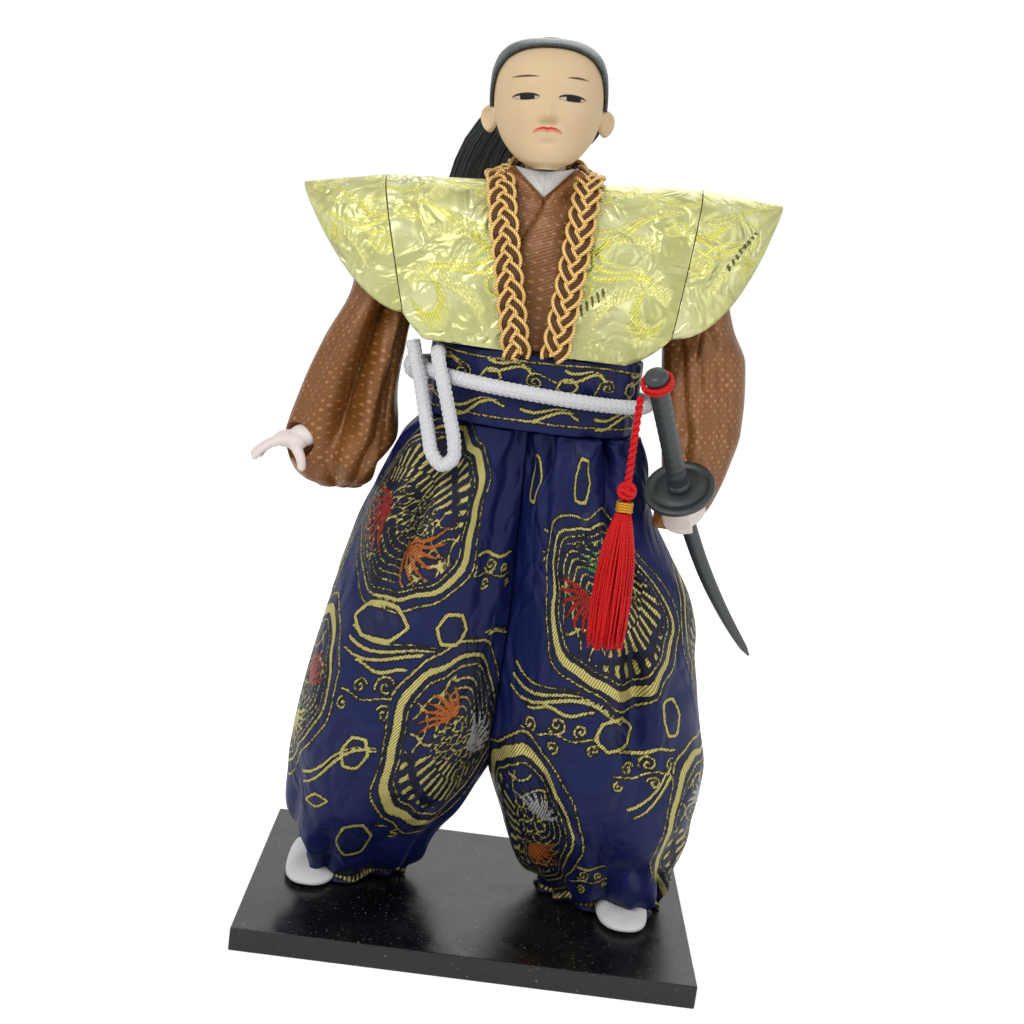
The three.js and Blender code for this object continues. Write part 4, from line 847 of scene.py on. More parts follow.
class Ornament:
    """Threads, thread colour and ground colour over a piece of cloth that may close round a body."""

    def __init__(self, spots, ground, gold, round_about=None):
        self.spots = spots
        self.round_about = round_about
        self.gold = tuple(gold)
        self.threads = np.full(len(spots), BARE)
        self.thread_colour = np.tile(self.gold, (len(spots), 1))
        self.ground = np.tile(np.array(ground, float), (len(spots), 1))

    def from_centre(self, centre):
        """Each spot's place from a centre, by the shorter way round."""
        away = self.spots - np.array(centre)
        if self.round_about:
            half = self.round_about / 2
            away[:, 0] = (away[:, 0] + half) % self.round_about - half
        return away

    def lay(self, field, where=None):
        """Adds threads where the field is below 0."""
        if where is None:
            self.threads = np.minimum(self.threads, field)
        else:
            self.threads[where] = np.minimum(self.threads[where], field)

    def stroke(self, centre, path, width, colour=None):
        """A line of thread through points given from its centre, of one width or one for each point."""
        path = np.array(path, float)
        width = np.broadcast_to(np.asarray(width, float), (len(path),))
        away = self.from_centre(centre)
        reach = np.abs(path).max() + 3
        near = np.flatnonzero(np.max(np.abs(away), axis=1) < reach)
        spots = away[near]
        best = np.full(len(near), BARE)
        for a, b, w0, w1 in zip(path[:-1], path[1:], width[:-1], width[1:]):
            along = b - a
            t = np.clip((spots - a) @ along / max(along @ along, 1e-9), 0, 1)
            gap = np.linalg.norm(spots - a - t[:, None] * along, axis=1)
            best = np.minimum(best, gap - mix(w0, w1, t) / 2)
        self.lay(best, near)
        if colour:
            self.thread_colour[near[best < COLOUR_REACH]] = linear(colour)

    def flames(self, centre, length, turn, colour, count, width):
        """A fan of tapering strokes that curl to one side."""
        share = np.linspace(0, 1, 9)
        for k in range(count):
            way = turn + (k - (count - 1) / 2) * 0.3 + 0.9 * share
            step = np.stack([np.cos(way), np.sin(way)], axis=1) * length / 8
            path = np.cumsum(step, axis=0)
            self.stroke(centre, path, width * np.sin(np.pi * (0.15 + 0.8 * share)) + 0.2, colour)

    def fern(self, centre, length, turn, bend, colour, leaf):
        """A curling stem with a comb of leaves on its outer side."""
        share = np.linspace(0, 1, 22)
        way = turn + bend * share
        path = np.cumsum(np.stack([np.cos(way), np.sin(way)], axis=1) * length / 21, axis=0)
        self.stroke(centre, path, 0.7, colour)
        for k in range(1, 21):
            side = way[k] - np.sign(bend) * 1.1
            size = leaf * math.sin(math.pi * (0.15 + 0.8 * share[k]))
            tip = path[k] + size * np.array([math.cos(side), math.sin(side)])
            self.stroke(centre, [path[k], tip], (0.9, 0.5), colour)

    def outline(self, centre, half_width, half_height, sides, width, turn=0.0):
        """A closed figure with rounded corners, such as a hexagon or a drop."""
        angle = np.linspace(0, TURN, 61)
        reach = np.cos(math.pi / sides) / np.cos((angle % (TURN / sides)) - math.pi / sides)
        reach = mix(reach, 1, 0.25)
        loop = np.stack([np.cos(angle) * reach * half_width, np.sin(angle) * reach * half_height], axis=1)
        c, s = math.cos(turn), math.sin(turn)
        loop = loop @ np.array([[c, s], [-s, c]])
        self.stroke(centre, loop, width)
        away = self.from_centre(centre) @ np.array([[c, -s], [s, c]])
        inside = np.hypot(away[:, 0] / half_width, away[:, 1] / half_height) < 0.93
        self.ground[inside] = mix(self.ground[inside], np.array(linear(FIGURE_GROUND)), 0.7)

    def scroll(self, centre, radius, turns=1.6, start=0.0, hand=1, width=0.8, tail=0.0):
        """A spiral that opens into a tail."""
        t = np.linspace(0, 1, 40)
        angle = start + hand * t * turns * TURN
        size = radius * (0.12 + 0.88 * t)
        path = np.stack([np.cos(angle) * size, np.sin(angle) * size], axis=1)
        if tail:
            way = path[-1] - path[-2]
            way = way / np.linalg.norm(way)
            path = np.vstack([path, path[-1] + way * tail * 0.5, path[-1] + way * tail])
        self.stroke(centre, path, width)

    def cloud(self, centre, size, hand=1):
        """A bank of cloud: three curls on a waving line, as woven in brocade."""
        x, y = centre
        self.scroll((x, y), 0.42 * size, 1.5, 0.4, hand)
        self.scroll((x - hand * size, y - 0.15 * size), 0.3 * size, 1.3, 2.2, -hand)
        self.scroll((x + hand * 0.2 * size, y - 0.95 * size), 0.33 * size, 1.4, 0.2, hand)
        t = np.linspace(-1, 1, 25)
        wave = np.stack([t * 1.5 * size * hand, 0.55 * size + 0.12 * size * np.sin(t * 5)], axis=1)
        self.stroke(centre, wave, 0.75 + 0.5 * np.cos(t * 1.4))
        low = np.stack([t * 1.7 * size * hand, -0.5 * size + 0.1 * size * np.sin(t * 6 + 1)], axis=1)
        self.stroke(centre, low, 0.75)
        self.scroll((x + hand * 1.3 * size, y - 0.2 * size), 0.34 * size, 1.4, 1.2, hand)
        self.scroll((x - hand * 1.5 * size, y - 0.9 * size), 0.26 * size, 1.2, 3.0, -hand)

    def stream(self, centre, width, height, lines=3, turn=0.0):
        """Waves of long lines that run together at one end."""
        t = np.linspace(-1, 1, 33)
        c, s = math.cos(turn), math.sin(turn)
        for k in range(lines):
            x, y = t * width, height * np.sin(t * 3.2 + 0.5) + (k - 1) * 2.6 * (0.3 + 0.7 * np.abs(t - 0.6))
            path = np.stack([c * x - s * y, s * x + c * y], axis=1)
            self.stroke(centre, path, 0.7 + 0.5 * np.cos(t * 1.3 + k))

    def vines(self, dx, dy, pitch):
        """Distance from curling lines that never repeat, at a place."""
        x, y = dx * TURN / pitch, dy * TURN / pitch
        a, b = x + 1.5 * np.sin(0.63 * y + 0.4), y + 1.6 * np.sin(0.71 * x + 1.1)
        level = np.sin(a) + np.cos(b)
        slope = np.hypot(np.cos(a), np.sin(b)) * TURN / pitch * 1.2
        return np.abs(level) / np.maximum(slope, 0.25)

    def medallion(self, centre, radius, stretch, turn, accents):
        """A lobed roundel: a gold border that swells, wing feathers, curls, scales and flames inside it."""
        away = self.from_centre(centre)
        near = np.flatnonzero(np.hypot(away[:, 0], away[:, 1] / stretch) < radius * 1.5)
        dx, dy = away[near, 0], away[near, 1] / stretch
        c, s = math.cos(turn), math.sin(turn)
        dx, dy = c * dx + s * dy, c * dy - s * dx
        phi = np.arctan2(dy, dx)
        lobes = 1 + 0.05 * np.cos(5 * phi) + 0.05 * np.cos(2 * phi + 1) + 0.012 * np.sin(13 * phi)
        rho = np.hypot(dx, dy) / lobes
        swell = 0.45 + 1.0 * np.clip(0.5 + 0.6 * np.cos(phi - 0.9), 0, 1) ** 2
        border = np.abs(rho - radius) - swell
        outer = np.abs(rho - radius - 3.4 - 0.5 * np.sin(7 * phi)) - 0.36
        inner = np.abs(rho - radius + swell + 1.6) - 0.3
        rings = np.minimum(np.minimum(border, outer), inner)
        room = radius - swell - 2.8
        # Wing feathers: bars that fan out from low in the roundel, in two tiers.
        fx, fy = dx + 0.2 * radius, dy + 0.55 * radius
        span, fan = np.hypot(fx, fy), np.arctan2(fx, fy)
        tier = (span / (0.56 * radius)) % 1
        bars = np.abs(((fan * radius * 0.75 / 2.2) + 0.4 * (tier > 0.5)) % 1 - 0.5) * 2.2 - 0.52
        feathers = np.maximum(bars, (0.16 - tier) * 4)
        # Hair: lines that flow round in arcs.
        flow = rho + 2.6 * np.sin(2.3 * phi + 0.5) + 1.1 * phi
        hair = np.abs((flow / 2.1) % 1 - 0.5) * 2.1 - 0.34
        curls = self.vines(dx, dy, 8.5) - 0.42
        row = np.floor(dy / 2.9)
        cx, cy = (dx / 3.3 + 0.5 * (row % 2)) % 1 - 0.5, (dy / 2.9) % 1 - 0.5
        scales = np.abs(np.hypot(cx * 3.3, cy * 2.9) - 1.3) - 0.3
        wander = 0.35 * np.sin(4 * phi + 0.25 * rho) + phi
        zone = np.floor(((wander + 0.6) % TURN) / TURN * 5).astype(int) % 5
        middle = np.hypot(dx - 0.1 * radius, dy + 0.05 * radius) < 0.3 * radius
        zone = np.where(middle, 3, zone)
        fills = np.choose(zone, [curls, feathers, feathers, scales, hair])
        threads = np.where(rho < room, np.minimum(fills, inner), rings)
        clear = rho < radius + 4.6
        old = self.threads[near]
        self.threads[near] = np.where(clear, threads, np.minimum(old, threads))
        self.ground[near[clear]] = mix(self.ground[near[clear]], np.array(linear(ROUNDEL_GROUND)), 0.6)
        self.thread_colour[near[clear]] = self.gold
        for k, code in enumerate(accents):
            angle = turn + 3.6 + 1.9 * k
            spot = np.array(centre) + radius * 0.3 * np.array([math.cos(angle), stretch * math.sin(angle)])
            self.flames(spot, radius * 0.55, angle + 0.4, code, 7, 1.1)

    def keep_on(self, mesh):
        paint(mesh, "threads", self.threads)
        paint(mesh, "thread_colour", self.thread_colour)
        paint(mesh, "ground", self.ground)


# Surfaces of the clothes. Each takes shares u, round the piece, and v, up it.


def folds(table, angle, height):
    """How far the cloth stands in from its round at each angle and height.

    A fold that ends inside the piece fades out there; one that runs to the piece's end doesn't.
    """
    degrees = np.degrees(angle)
    inward = np.zeros(np.broadcast(angle, height).shape)
    for at, depth, width, low, high in table:
        away = (np.abs((degrees - at + 540) % 360 - 180)) / width
        along = (height - low) / (high - low)
        fade = np.where(low > FOLDS_LOW, np.clip(3 * along, 0, 1), 1)
        fade = fade * np.where(high < FOLDS_HIGH, np.clip(3 * (1 - along), 0, 1), 1)
        fade = fade * (along >= 0) * (along <= 1)
        inward = inward + depth * np.exp(-(away**2)) * fade
    return inward


def closed_ends(v, end):
    """Shares of the way up and out from the middle, for a grid that closes over its first and last rows."""
    return np.clip((v - end) / (1 - 2 * end), 0, 1), np.clip(np.minimum(v, 1 - v) / end, 0, 1)


def leg_place(side, fold_depth, moved=None):
    """The trouser leg: wadded, pleated into the band and gathered at the hem."""
    sign = -1 if side == "right" else 1
    outer_reach, inner_reach = through(OUTER_REACH[side]), through(INNER_REACH[side])
    even = even_angles(33, 31, LEG_SQUARENESS)
    phase = 0.0 if side == "right" else 1.1

    def place(u, v):
        upward, out_from_middle = closed_ends(v, LEG_END)
        height = mix(HEM, LEG_TOP, upward)
        angle = even(u)
        outer, inner = sign * outer_reach(height), sign * inner_reach(height)
        across, along = rounded(angle, LEG_SQUARENESS)
        wander = phase + 0.5 * np.sin(height * 0.04 + 3 * angle)
        pleats = 1.5 * fold_depth * np.maximum(0, np.cos(5.5 * angle + wander)) ** 3 * ease(95, 168, height)
        small = 0.6 * fold_depth * np.cos(14 * angle + 2 * wander) * ease(150, 172, height)
        gathers = fold_depth * np.cos(11 * angle + 2 * wander) * ease(40, 10, height)
        sag = 0.7 * fold_depth * np.sin(height * 0.21 + 1.6 * np.sin(2 * angle + phase))
        sag = sag * ease(58, 24, height)
        # The hem's front comes forward over the foot.
        toe_way = 1.5 * np.pi + 0.3 * sign
        over_foot = 9 * np.exp(-(((angle - toe_way) / 0.5) ** 2)) * ease(34, 12, height)
        out = -folds(LEG_FOLDS[side], angle, height) - pleats - small - gathers + sag + over_foot
        x = (outer + inner) / 2 + out_from_middle * (across * np.abs(outer - inner) / 2 + np.cos(angle) * out)
        y = LEG_MIDDLE_Y(height) + out_from_middle * (along * LEG_HALF_DEPTH(height) + np.sin(angle) * out)
        spot = xyz(x, y, height)
        if moved is not None:
            spot = spot + spread(moved, u, v)
            spot[:, 2] = np.maximum(spot[:, 2], HEM)
        # The legs press against each other in a wavy line, so that no light comes through between them.
        split = LEG_SPLIT_X + 0.9 * np.sin(0.25 * spot[:, 1] + 0.05 * spot[:, 2]) + sign * 0.05
        spot[:, 0] = np.maximum(spot[:, 0], split) if sign > 0 else np.minimum(spot[:, 0], split)
        return spot

    return place


def band_place(u, v):
    """The waistband: a stiff folded band round the figure."""
    angle = even_angles(BAND["half_width"], BAND["half_depth"], BAND_SQUARENESS)(u)
    across, along = rounded(angle, BAND_SQUARENESS)
    middle = (BAND["low"] + BAND["high"]) / 2
    half = (BAND["high"] - BAND["low"]) / 2
    # The section is a thin upright oval, all but a rectangle: 2 by 24 mm.
    turn = even_angles(BAND["thickness"] / 2, half, BAND_EDGE_SQUARENESS)(v)
    thick, tall = rounded(turn, BAND_EDGE_SQUARENESS)
    ripple = 0.25 * np.sin(u * 9 * TURN) + 0.2 * np.sin(u * 23 * TURN + 1)
    out = -BAND["thickness"] / 2 + thick * BAND["thickness"] / 2 + ripple
    return xyz(
        BAND["x"] + across * (BAND["half_width"] + out),
        along * (BAND["half_depth"] + out),
        middle + tall * (half - 0.1) + 0.3 * np.sin(u * 6 * TURN) * (tall > 0),
    )


def belt_path(start, end, count, out=0.0):
    """The belt cord's line round the band, between two angles."""
    angle = np.linspace(start, end, count + 1)
    across, along = rounded(angle, BAND_SQUARENESS)
    x = BAND["x"] + across * (BELT["half_width"] + out)
    return xyz(x, along * (BELT["half_depth"] + out), BELT["height"] - BELT["slope"] * x)


def kimono_place(u, v):
    """The kimono's body: padded chest, narrowing to the neck."""
    angle = even_angles(33, 16, CHEST_SQUARENESS)(u)
    across, along = rounded(angle, CHEST_SQUARENESS)
    upward, out_from_middle = closed_ends(v, LEG_END)
    z = mix(CHEST_FOOT, CHEST_HEIGHT - 0.1, upward)
    wrinkle = 0.35 * np.sin(u * 17 * TURN + z * 0.2) * ease(60, 30, z)
    return lean(xyz(
        out_from_middle * (across * CHEST_WIDTH(z) + np.cos(angle) * wrinkle),
        out_from_middle * (along * CHEST_DEPTH(z) + np.sin(angle) * wrinkle),
        z,
    ))


def chest_front(x, z):
    """How far forward the kimono's chest reaches."""
    reach = CHEST_DEPTH(np.minimum(z, CHEST_HEIGHT - 3.6))
    sideways = np.abs(x / CHEST_WIDTH(z)) ** CHEST_SQUARENESS
    return reach * np.maximum(0, 1 - sideways) ** (1 / CHEST_SQUARENESS)


# Edges of the doll's left lapel as [x, z] from the waist to the side of the neck; the right mirrors it.
LAPEL_INNER = [(-10, 19), (-9.4, 38), (-8, 48), (-3.4, 57.5), (0.8, 64.6), (4.2, 68.8), (7.6, 72), (10, 74),
               (11.1, 74.6)]
LAPEL_OUTER = [(7.5, 19), (8, 38), (8.6, 47), (9.6, 55.5), (10.6, 60.4), (12, 64.4), (13.4, 67.8), (14.4, 70),
               (14.9, 71)]
LAPEL_STEPS = 200
# How far each lapel stands off the chest: the doll's left one lies over the right one.
LAPEL_LIFT = {"right": 1.0, "left": 2.5}
# Sharpness of the bend where a lapel goes from the chest to the neck.
LAPEL_BEND = 1.5


def lapel_place(name, side):
    """A flat lapel band that crosses the chest and goes up round the neck."""
    share = np.linspace(0, 1, LAPEL_STEPS + 1)
    inner, outer = (smooth_path([(x, 0, z) for x, z in table], LAPEL_STEPS)
                    for table in (LAPEL_INNER, LAPEL_OUTER))
    lift = LAPEL_LIFT[name]

    def place(u, v):
        x, z = (mix(np.interp(v, share, inner[:, k]), np.interp(v, share, outer[:, k]), u) for k in (0, 2))
        neck = 0.5 + np.sqrt(np.maximum(0.3, 11.0**2 - x**2)) * ease(14.5, 10.5, x)
        chest = chest_front(x, np.minimum(z, 66)) + 0.9 * ease(52, 60, z)
        neck = neck * ease(58, 63, z)
        reach = np.log(np.exp(chest * LAPEL_BEND) + np.exp(neck * LAPEL_BEND)) / LAPEL_BEND
        roll = 0.5 * (1 - np.clip((0.5 - np.abs(u - 0.5)) / 0.12, 0, 1)) ** 2
        puff = 0.35 * np.sin(np.pi * u) + 0.15 * np.sin(v * 19 + u * 3)
        return lean(xyz(side * x, -(reach + lift * ease(1.05, 0.8, v) + puff - roll), z))

    return place


def arch_rise(turn):
    """How high the shoulder cloth is, as a share, at each share of the way from front to back."""
    return np.maximum(np.sin(turn * math.pi), 0) ** ARCH_POWER


def arch(x, turn, bottom, ridge, front, back):
    """A point of the shoulder cloth, which arches over the shoulder from front to back."""
    way = np.cos(turn * math.pi)
    run = np.sign(way) * np.abs(way) ** ARCH_POWER
    return xyz(x, -run * np.where(run > 0, front, back), mix(bottom, ridge, arch_rise(turn)))


def seam_low(side):
    """Height of the lower end of a wing's seam."""
    return SEAM_LOW_Z + (RIGHT_SEAM_RISE if side < 0 else 0)


def vest_place(side):
    """Half of the shoulder cloth, from the braid to the seam of the wing."""

    def place(u, v):
        rise = arch_rise(v)
        front = mix(*BRAID_X, rise) - 2
        back = mix(0.15, BRAID_X[1] - 2, ease(0.8, 1.0, rise))
        inner = np.where(v <= 0.5, front, back)
        x = mix(inner, mix(*SEAM_X, rise) - SEAM_HALF_GAP, u)
        outward = np.minimum(1, x / SEAM_X[0]) ** 2
        spot = arch(side * x, v, mix(VEST["bottom"], seam_low(side), outward**2), VEST["ridge"],
                    mix(VEST["depth"], VEST["side_depth"], outward),
                    mix(VEST["back"], VEST["side_back"], outward))
        crease = 0.5 * np.sin(v * 7 + u * 4) * np.sin(u * 3.1) + 0.25 * np.sin(v * 23 + u * 9 + side)
        spot[:, 1] += crease * np.where(v < 0.5, -1, 1) * ease(0, 0.15, u) * ease(1, 0.8, u) * 0.8
        return lean(spot)

    return place


def cut_at_band(piece):
    """Cuts a piece off just above the waistband."""
    bm = bmesh.new()
    bm.from_mesh(piece.data)
    cut(bm, (0, 0, (BAND["high"] + SEAT_GAP) * MM), (0, 0, -1))
    bm.to_mesh(piece.data)
    bm.free()


def wing_place(side):
    """The stiff wing beyond the shoulder."""

    def place(u, v):
        rise = arch_rise(v)
        reach = mix(mix(*SEAM_X, rise) + SEAM_HALF_GAP, WING_REACH - (1 - rise) * 0.8, u)
        closing = 1 - 0.93 * u**2.4
        bottom = mix(seam_low(side), VEST["ridge"] - WING_TIP_DROP - 3, u ** (1.7 if side < 0 else 2.1))
        spot = arch(side * reach, v, bottom, VEST["ridge"] - WING_TIP_DROP * u,
                    VEST["side_depth"] * closing, VEST["side_back"] * closing)
        crease = 0.6 * np.sin(u * 5 + v * 6) * np.sin(v * math.pi) * ease(0, 0.2, u) * ease(1, 0.85, u)
        spot[:, 1] += crease * np.where(v < 0.5, -1, 1)
        return lean(spot)

    return place


# Each row: height, middle across and along, half width and half depth. The hands' ends come first.
SLEEVES = {
    "right": [[-30.5, 62, -2, 7, 4], [-27, 62.5, -2, 11.5, 7.5], [-20, 63.5, -2, 16.5, 10.5],
              [-12, 62, -1, 19.4, 12], [2, 59.9, 0, 17.2, 12.5], [19, 55.2, 0, 14.4, 12],
              [34, 50.3, 0, 11.2, 9.8], [46, 48.6, 0, 9.6, 8.2], [55, 47, 0, 7.8, 6.6], [61, 45, 0, 5, 4]],
    "left": [[-35.5, 43.5, -17, 3.5, 4], [-31, 47.5, -15, 7.5, 7], [-22, 51.6, -12, 10.6, 9.5],
             [-13, 53.4, -9, 12.6, 11.5], [-5, 54.6, -6, 13.8, 12.5], [5, 54.6, -3.5, 14.5, 12.5],
             [16, 54.4, -1.5, 14.3, 12], [27, 52.2, 0, 12.4, 11], [38, 50.4, 0, 11, 9],
             [47, 49, 0, 9.8, 8.2], [55, 47, 0, 7.8, 6.6], [61, 45, 0, 5, 4]],
}
# Folds as for the legs, with 200 added to the heights.
SLEEVE_PUCKERS = {
    "right": [(280, 10, 11, 165, 250), (318, 4, 11, 162, 240), (236, 1.8, 10, 176, 250),
              (60, 2.4, 14, 172, 240)],
    "left": [(236, 4, 13, 168, 248), (288, 2.6, 12, 172, 240), (262, 1.5, 9, 190, 250),
             (110, 2.4, 14, 172, 240)],
}
PUCKER_LIFT = 200
SLEEVE_SQUARENESS = 2.2


def sleeve_place(side, moved=None):
    """A padded sleeve, closed at the shoulder and drawn in round the wrist."""
    sign = -1 if side == "right" else 1
    rows = np.array(SLEEVES[side])
    middle_x, middle_y, half_width, half_depth = (through(rows[:, [0, k]]) for k in (1, 2, 3, 4))
    low, high = rows[0, 0], rows[-1, 0]
    even = even_angles(15, 11, SLEEVE_SQUARENESS)

    def place(u, v):
        upward, out_from_middle = closed_ends(v, SLEEVE_END)
        z = mix(low, high, upward)
        angle = even(u)
        across, along = rounded(angle, SLEEVE_SQUARENESS)
        fade = np.clip((high - z) / 30, 0, 1)
        out = -folds(SLEEVE_PUCKERS[side], angle + sign * 0.009 * (z - 10), z + PUCKER_LIFT) * fade
        x = sign * middle_x(z) + out_from_middle * (across * half_width(z) + np.cos(angle) * out)
        y = middle_y(z) + out_from_middle * (along * half_depth(z) + np.sin(angle) * out)
        spot = xyz(x, y, z)
        if moved is not None:
            spot = spot + spread(moved, u, v) @ UPPER_TURN
        return lean(pocketed(spot, side))

    return place


# Rooms that the sleeves leave free, as ovals: radii, and the way in which the cloth is moved out of each.
OPEN_HAND_ROOM = ((8.8, 7.4, 6.2), (1, 0.2, 0.3))
FIST_ROOM = ((8.3, 8.3, 8.3), (0, 1, 0.3))
GUARD_ROOM = ((13.6, 13.6, 5), (0, 1, 0.3))
OPEN_HAND_MIDDLE = (-78, -9, -15.2)


def pocketed(points, side):
    """Sleeve points moved out of the hand's room, and of the sword guard's, so that these lie in a pocket."""
    axes = sword_axes()
    if side == "right":
        rooms = [(OPEN_HAND_MIDDLE, np.eye(3), OPEN_HAND_ROOM)]
    else:
        fist = np.array(FIST_MIDDLE) @ axes.T + GUARD_MIDDLE
        rooms = [(fist, axes, FIST_ROOM), (GUARD_MIDDLE, axes, GUARD_ROOM)]
    for middle, turn, (radii, way) in rooms:
        from_middle = (points - np.array(middle)) @ turn / np.array(radii)
        step = np.array(way) @ turn / np.array(radii)
        ahead, reach = from_middle @ step, step @ step
        inside = np.sum(from_middle**2, axis=1) - 1
        root = np.sqrt(np.maximum(ahead**2 - reach * inside, 0))
        share = np.where(inside < 0, (root - ahead) / reach, 0)
        points = points + share[:, None] * np.array(way)
    return points


# Head and hands.


def head_ring(u, share, grow):
    """A point of the head, u round it from the doll's left, share up it from the chin."""
    front, back = HEAD_FRONT(share), HEAD_BACK(share)
    across, along = rounded(u * TURN, HEAD_SQUARENESS)
    return xyz(
        across * (HEAD_HALF_WIDTH * HEAD_WIDTH(share) + grow),
        (back - front) / 2 + along * ((front + back) / 2 + grow),
        CHIN_Z + share * HEAD_HEIGHT + mix(-grow, grow, share),
    )


# Lumps and hollows of the face: outward by, at x and z, over half widths in x and z. Those at an x other
# than 0 are on both sides.
FACE_LUMPS = [
    (1.5, 0, 90.2, 1.9, 1.8), (0.7, 0, 92.6, 1.6, 3.6), (0.3, 0, 97, 1.6, 4), (0.6, 1.7, 89.2, 1.0, 1.0),
    (-0.55, 6.4, 96.6, 4.2, 2.4), (0.35, 6.7, 96.2, 3.6, 1.4), (0.5, 8, 88, 5, 5), (0.6, 0, 86.3, 3.6, 1.5),
    (0.4, 0, 84.2, 2.8, 1.2), (-0.35, 0, 82.4, 3.2, 0.9), (0.4, 0, 79.3, 4.0, 2.6),
]


def face_forms(points):
    """The face's low relief on the bare head: nose, eye hollows, lips, cheeks and chin."""
    x, z = points[:, 0], points[:, 2]
    out = np.zeros(len(points))
    for height, cx, cz, rx, rz in FACE_LUMPS:
        for at in {cx, -cx}:
            out += height * np.exp(-(((x - at) / rx) ** 2) - ((z - cz) / rz) ** 2)
    moved = points.copy()
    moved[:, 1] -= out * ease(-2, -10, points[:, 1])
    return moved


def head_place(u, v):
    """The bare head, with most of its grid on the face."""
    around = u + 0.045 * np.sin(2 * TURN * u)
    upward = 0.5 * v + 0.25 * (1 - np.cos(v * math.pi))
    return face_forms(head_ring(around, np.clip(upward, 0, 1), 0))


EYE = {"x": 7.1, "z": 95.7, "half_width": 4.2, "above": 1.15, "below": 0.62, "slant": 0.25, "iris": 2.3}
BROWS = {-1: (-7.5, 4.6), 1: (8.6, 3.7)}
BROW_Z, MOUTH_Z, MOUTH_HALF_WIDTH = 101.8, 87.0, 4.4


def paint_face(mesh, points):
    """Fields of the painted features, as distances from their edges in millimetres."""
    x, z = points[:, 0], points[:, 2]
    eye_white, iris, lid, brow, blush = (np.full(len(x), BARE) for _ in range(5))
    for side in (-1, 1):
        from_middle = x - side * EYE["x"]
        t = from_middle / EYE["half_width"]
        bow = np.sqrt(np.maximum(0, 1 - t * t))
        line = EYE["z"] - EYE["slant"] * t * side
        upper, lower = line + EYE["above"] * bow, line - EYE["below"] * bow**1.5
        opening = np.maximum(z - upper, lower - z)
        eye_white = np.minimum(eye_white, np.where(np.abs(t) < 1, opening, BARE))
        # Both eyes look a little to the doll's left.
        ball = np.hypot(from_middle - 0.4, z - 96.1) - EYE["iris"]
        iris = np.minimum(iris, np.maximum(ball, opening))
        over = np.abs(z - upper) - 0.4 * (0.35 + 0.65 * bow)
        lid = np.minimum(lid, np.where(np.abs(t) < 1.04, over, BARE))
        under = np.abs(z - lower) - 0.07
        lid = np.minimum(lid, np.where(np.abs(t) < 0.95, under, BARE))
        middle, half = BROWS[side]
        t = (x - middle) / half
        stroke = np.abs(z - BROW_Z - 0.35 * (1 - t * t) + 0.25 * side * t) - 0.34 * np.clip(1 - t * t, 0, 1)
        brow = np.minimum(brow, np.where(np.abs(t) < 1, stroke, BARE))
        blush = np.minimum(blush, np.hypot(x - side * 8.5, z - 88.5) - 3.5)
    t = x / MOUTH_HALF_WIDTH
    line = MOUTH_Z - 1.15 * np.abs(t) ** 2.4 - 0.3 * np.exp(-((t / 0.16) ** 2))
    mouth = np.where(np.abs(t) < 1, np.abs(z - line) - 0.36 * (1 - 0.8 * t * t), BARE)
    lip = np.where(np.abs(t) < 1.05, np.abs(z - line + 0.35) - 0.75 * (1 - 0.5 * t * t), BARE)
    # Painted shade under the nose.
    nose_shade = 3 * (np.hypot(x / 3.4, (z - 89.3) / 1.3) - 1)
    fields = {"eye_white": eye_white, "iris": iris, "lid": lid, "brow": brow, "mouth": mouth, "lip": lip,
              "blush": blush, "nose_shade": nose_shade}
    behind = np.where(points[:, 1] > -4, BARE, 0.0)
    for name, field in fields.items():
        paint(mesh, name, field + behind)


def ball_part(centre, radii, turn):
    """A round lump for a moulded shape, in the doll's frame."""
    bm = bmesh.new()
    bmesh.ops.create_uvsphere(bm, u_segments=32, v_segments=16, radius=1)
    size = Matrix.Diagonal((*[r * MM for r in radii], 1))
    place = Matrix.Translation(Vector(centre) * MM)
    bmesh.ops.transform(bm, matrix=place @ turn.to_4x4() @ size, verts=bm.verts)
    return new_object("lump", mesh_of(bm, "lump"), "hand_plastic")


def limb_part(points, radii):
    """A tapering round-ended finger or wrist through points, in the doll's frame."""
    path = smooth_path(points, 18)
    share = np.linspace(0, 1, 19)
    along = np.interp(share, np.linspace(0, 1, len(radii)), radii)
    run = path_run(path)
    tip = np.clip((run[-1] - run) / radii[-1], 0, 1)
    along = along * np.sqrt(np.maximum(1 - (1 - tip) ** 2, 0.02))
    return laid_tubes("limb", [path], ([along], [along]), "hand_plastic", 16)


# Operators: one for the stage, and one for each piece or group of like pieces.


def colours_of(context):
    return context.scene.doll_colours


def sizes_of(context):
    return context.scene.doll_sizes


# The camera's lens and place in millimetres and its turns in degrees.
CAMERA = {
    "lens": 55.6, "sensor": 36, "place": (-8.4, -514.8, 245.9), "yaw": -0.6, "pitch": 11.3, "roll": 7.55,
}
# Each lamp's place in metres, width in metres and power in watts.
LAMPS = {
    "key": ((-0.55, -0.75, 0.85), 0.6, 6.0), "fill": ((0.7, -0.6, 0.45), 0.7, 2.4),
    "back": ((0.1, 0.7, 0.8), 0.6, 2.5),
}
LAMP_AIM = (0, 0, 0.15)
SKY_LIGHT = 0.42
FLOOR_GLOW = 0.55
# The floor's half width, and its backdrop's radius and height, in metres.
FLOOR_REACH, BACKDROP_RADIUS, BACKDROP_HEIGHT = 1.6, 0.5, 2


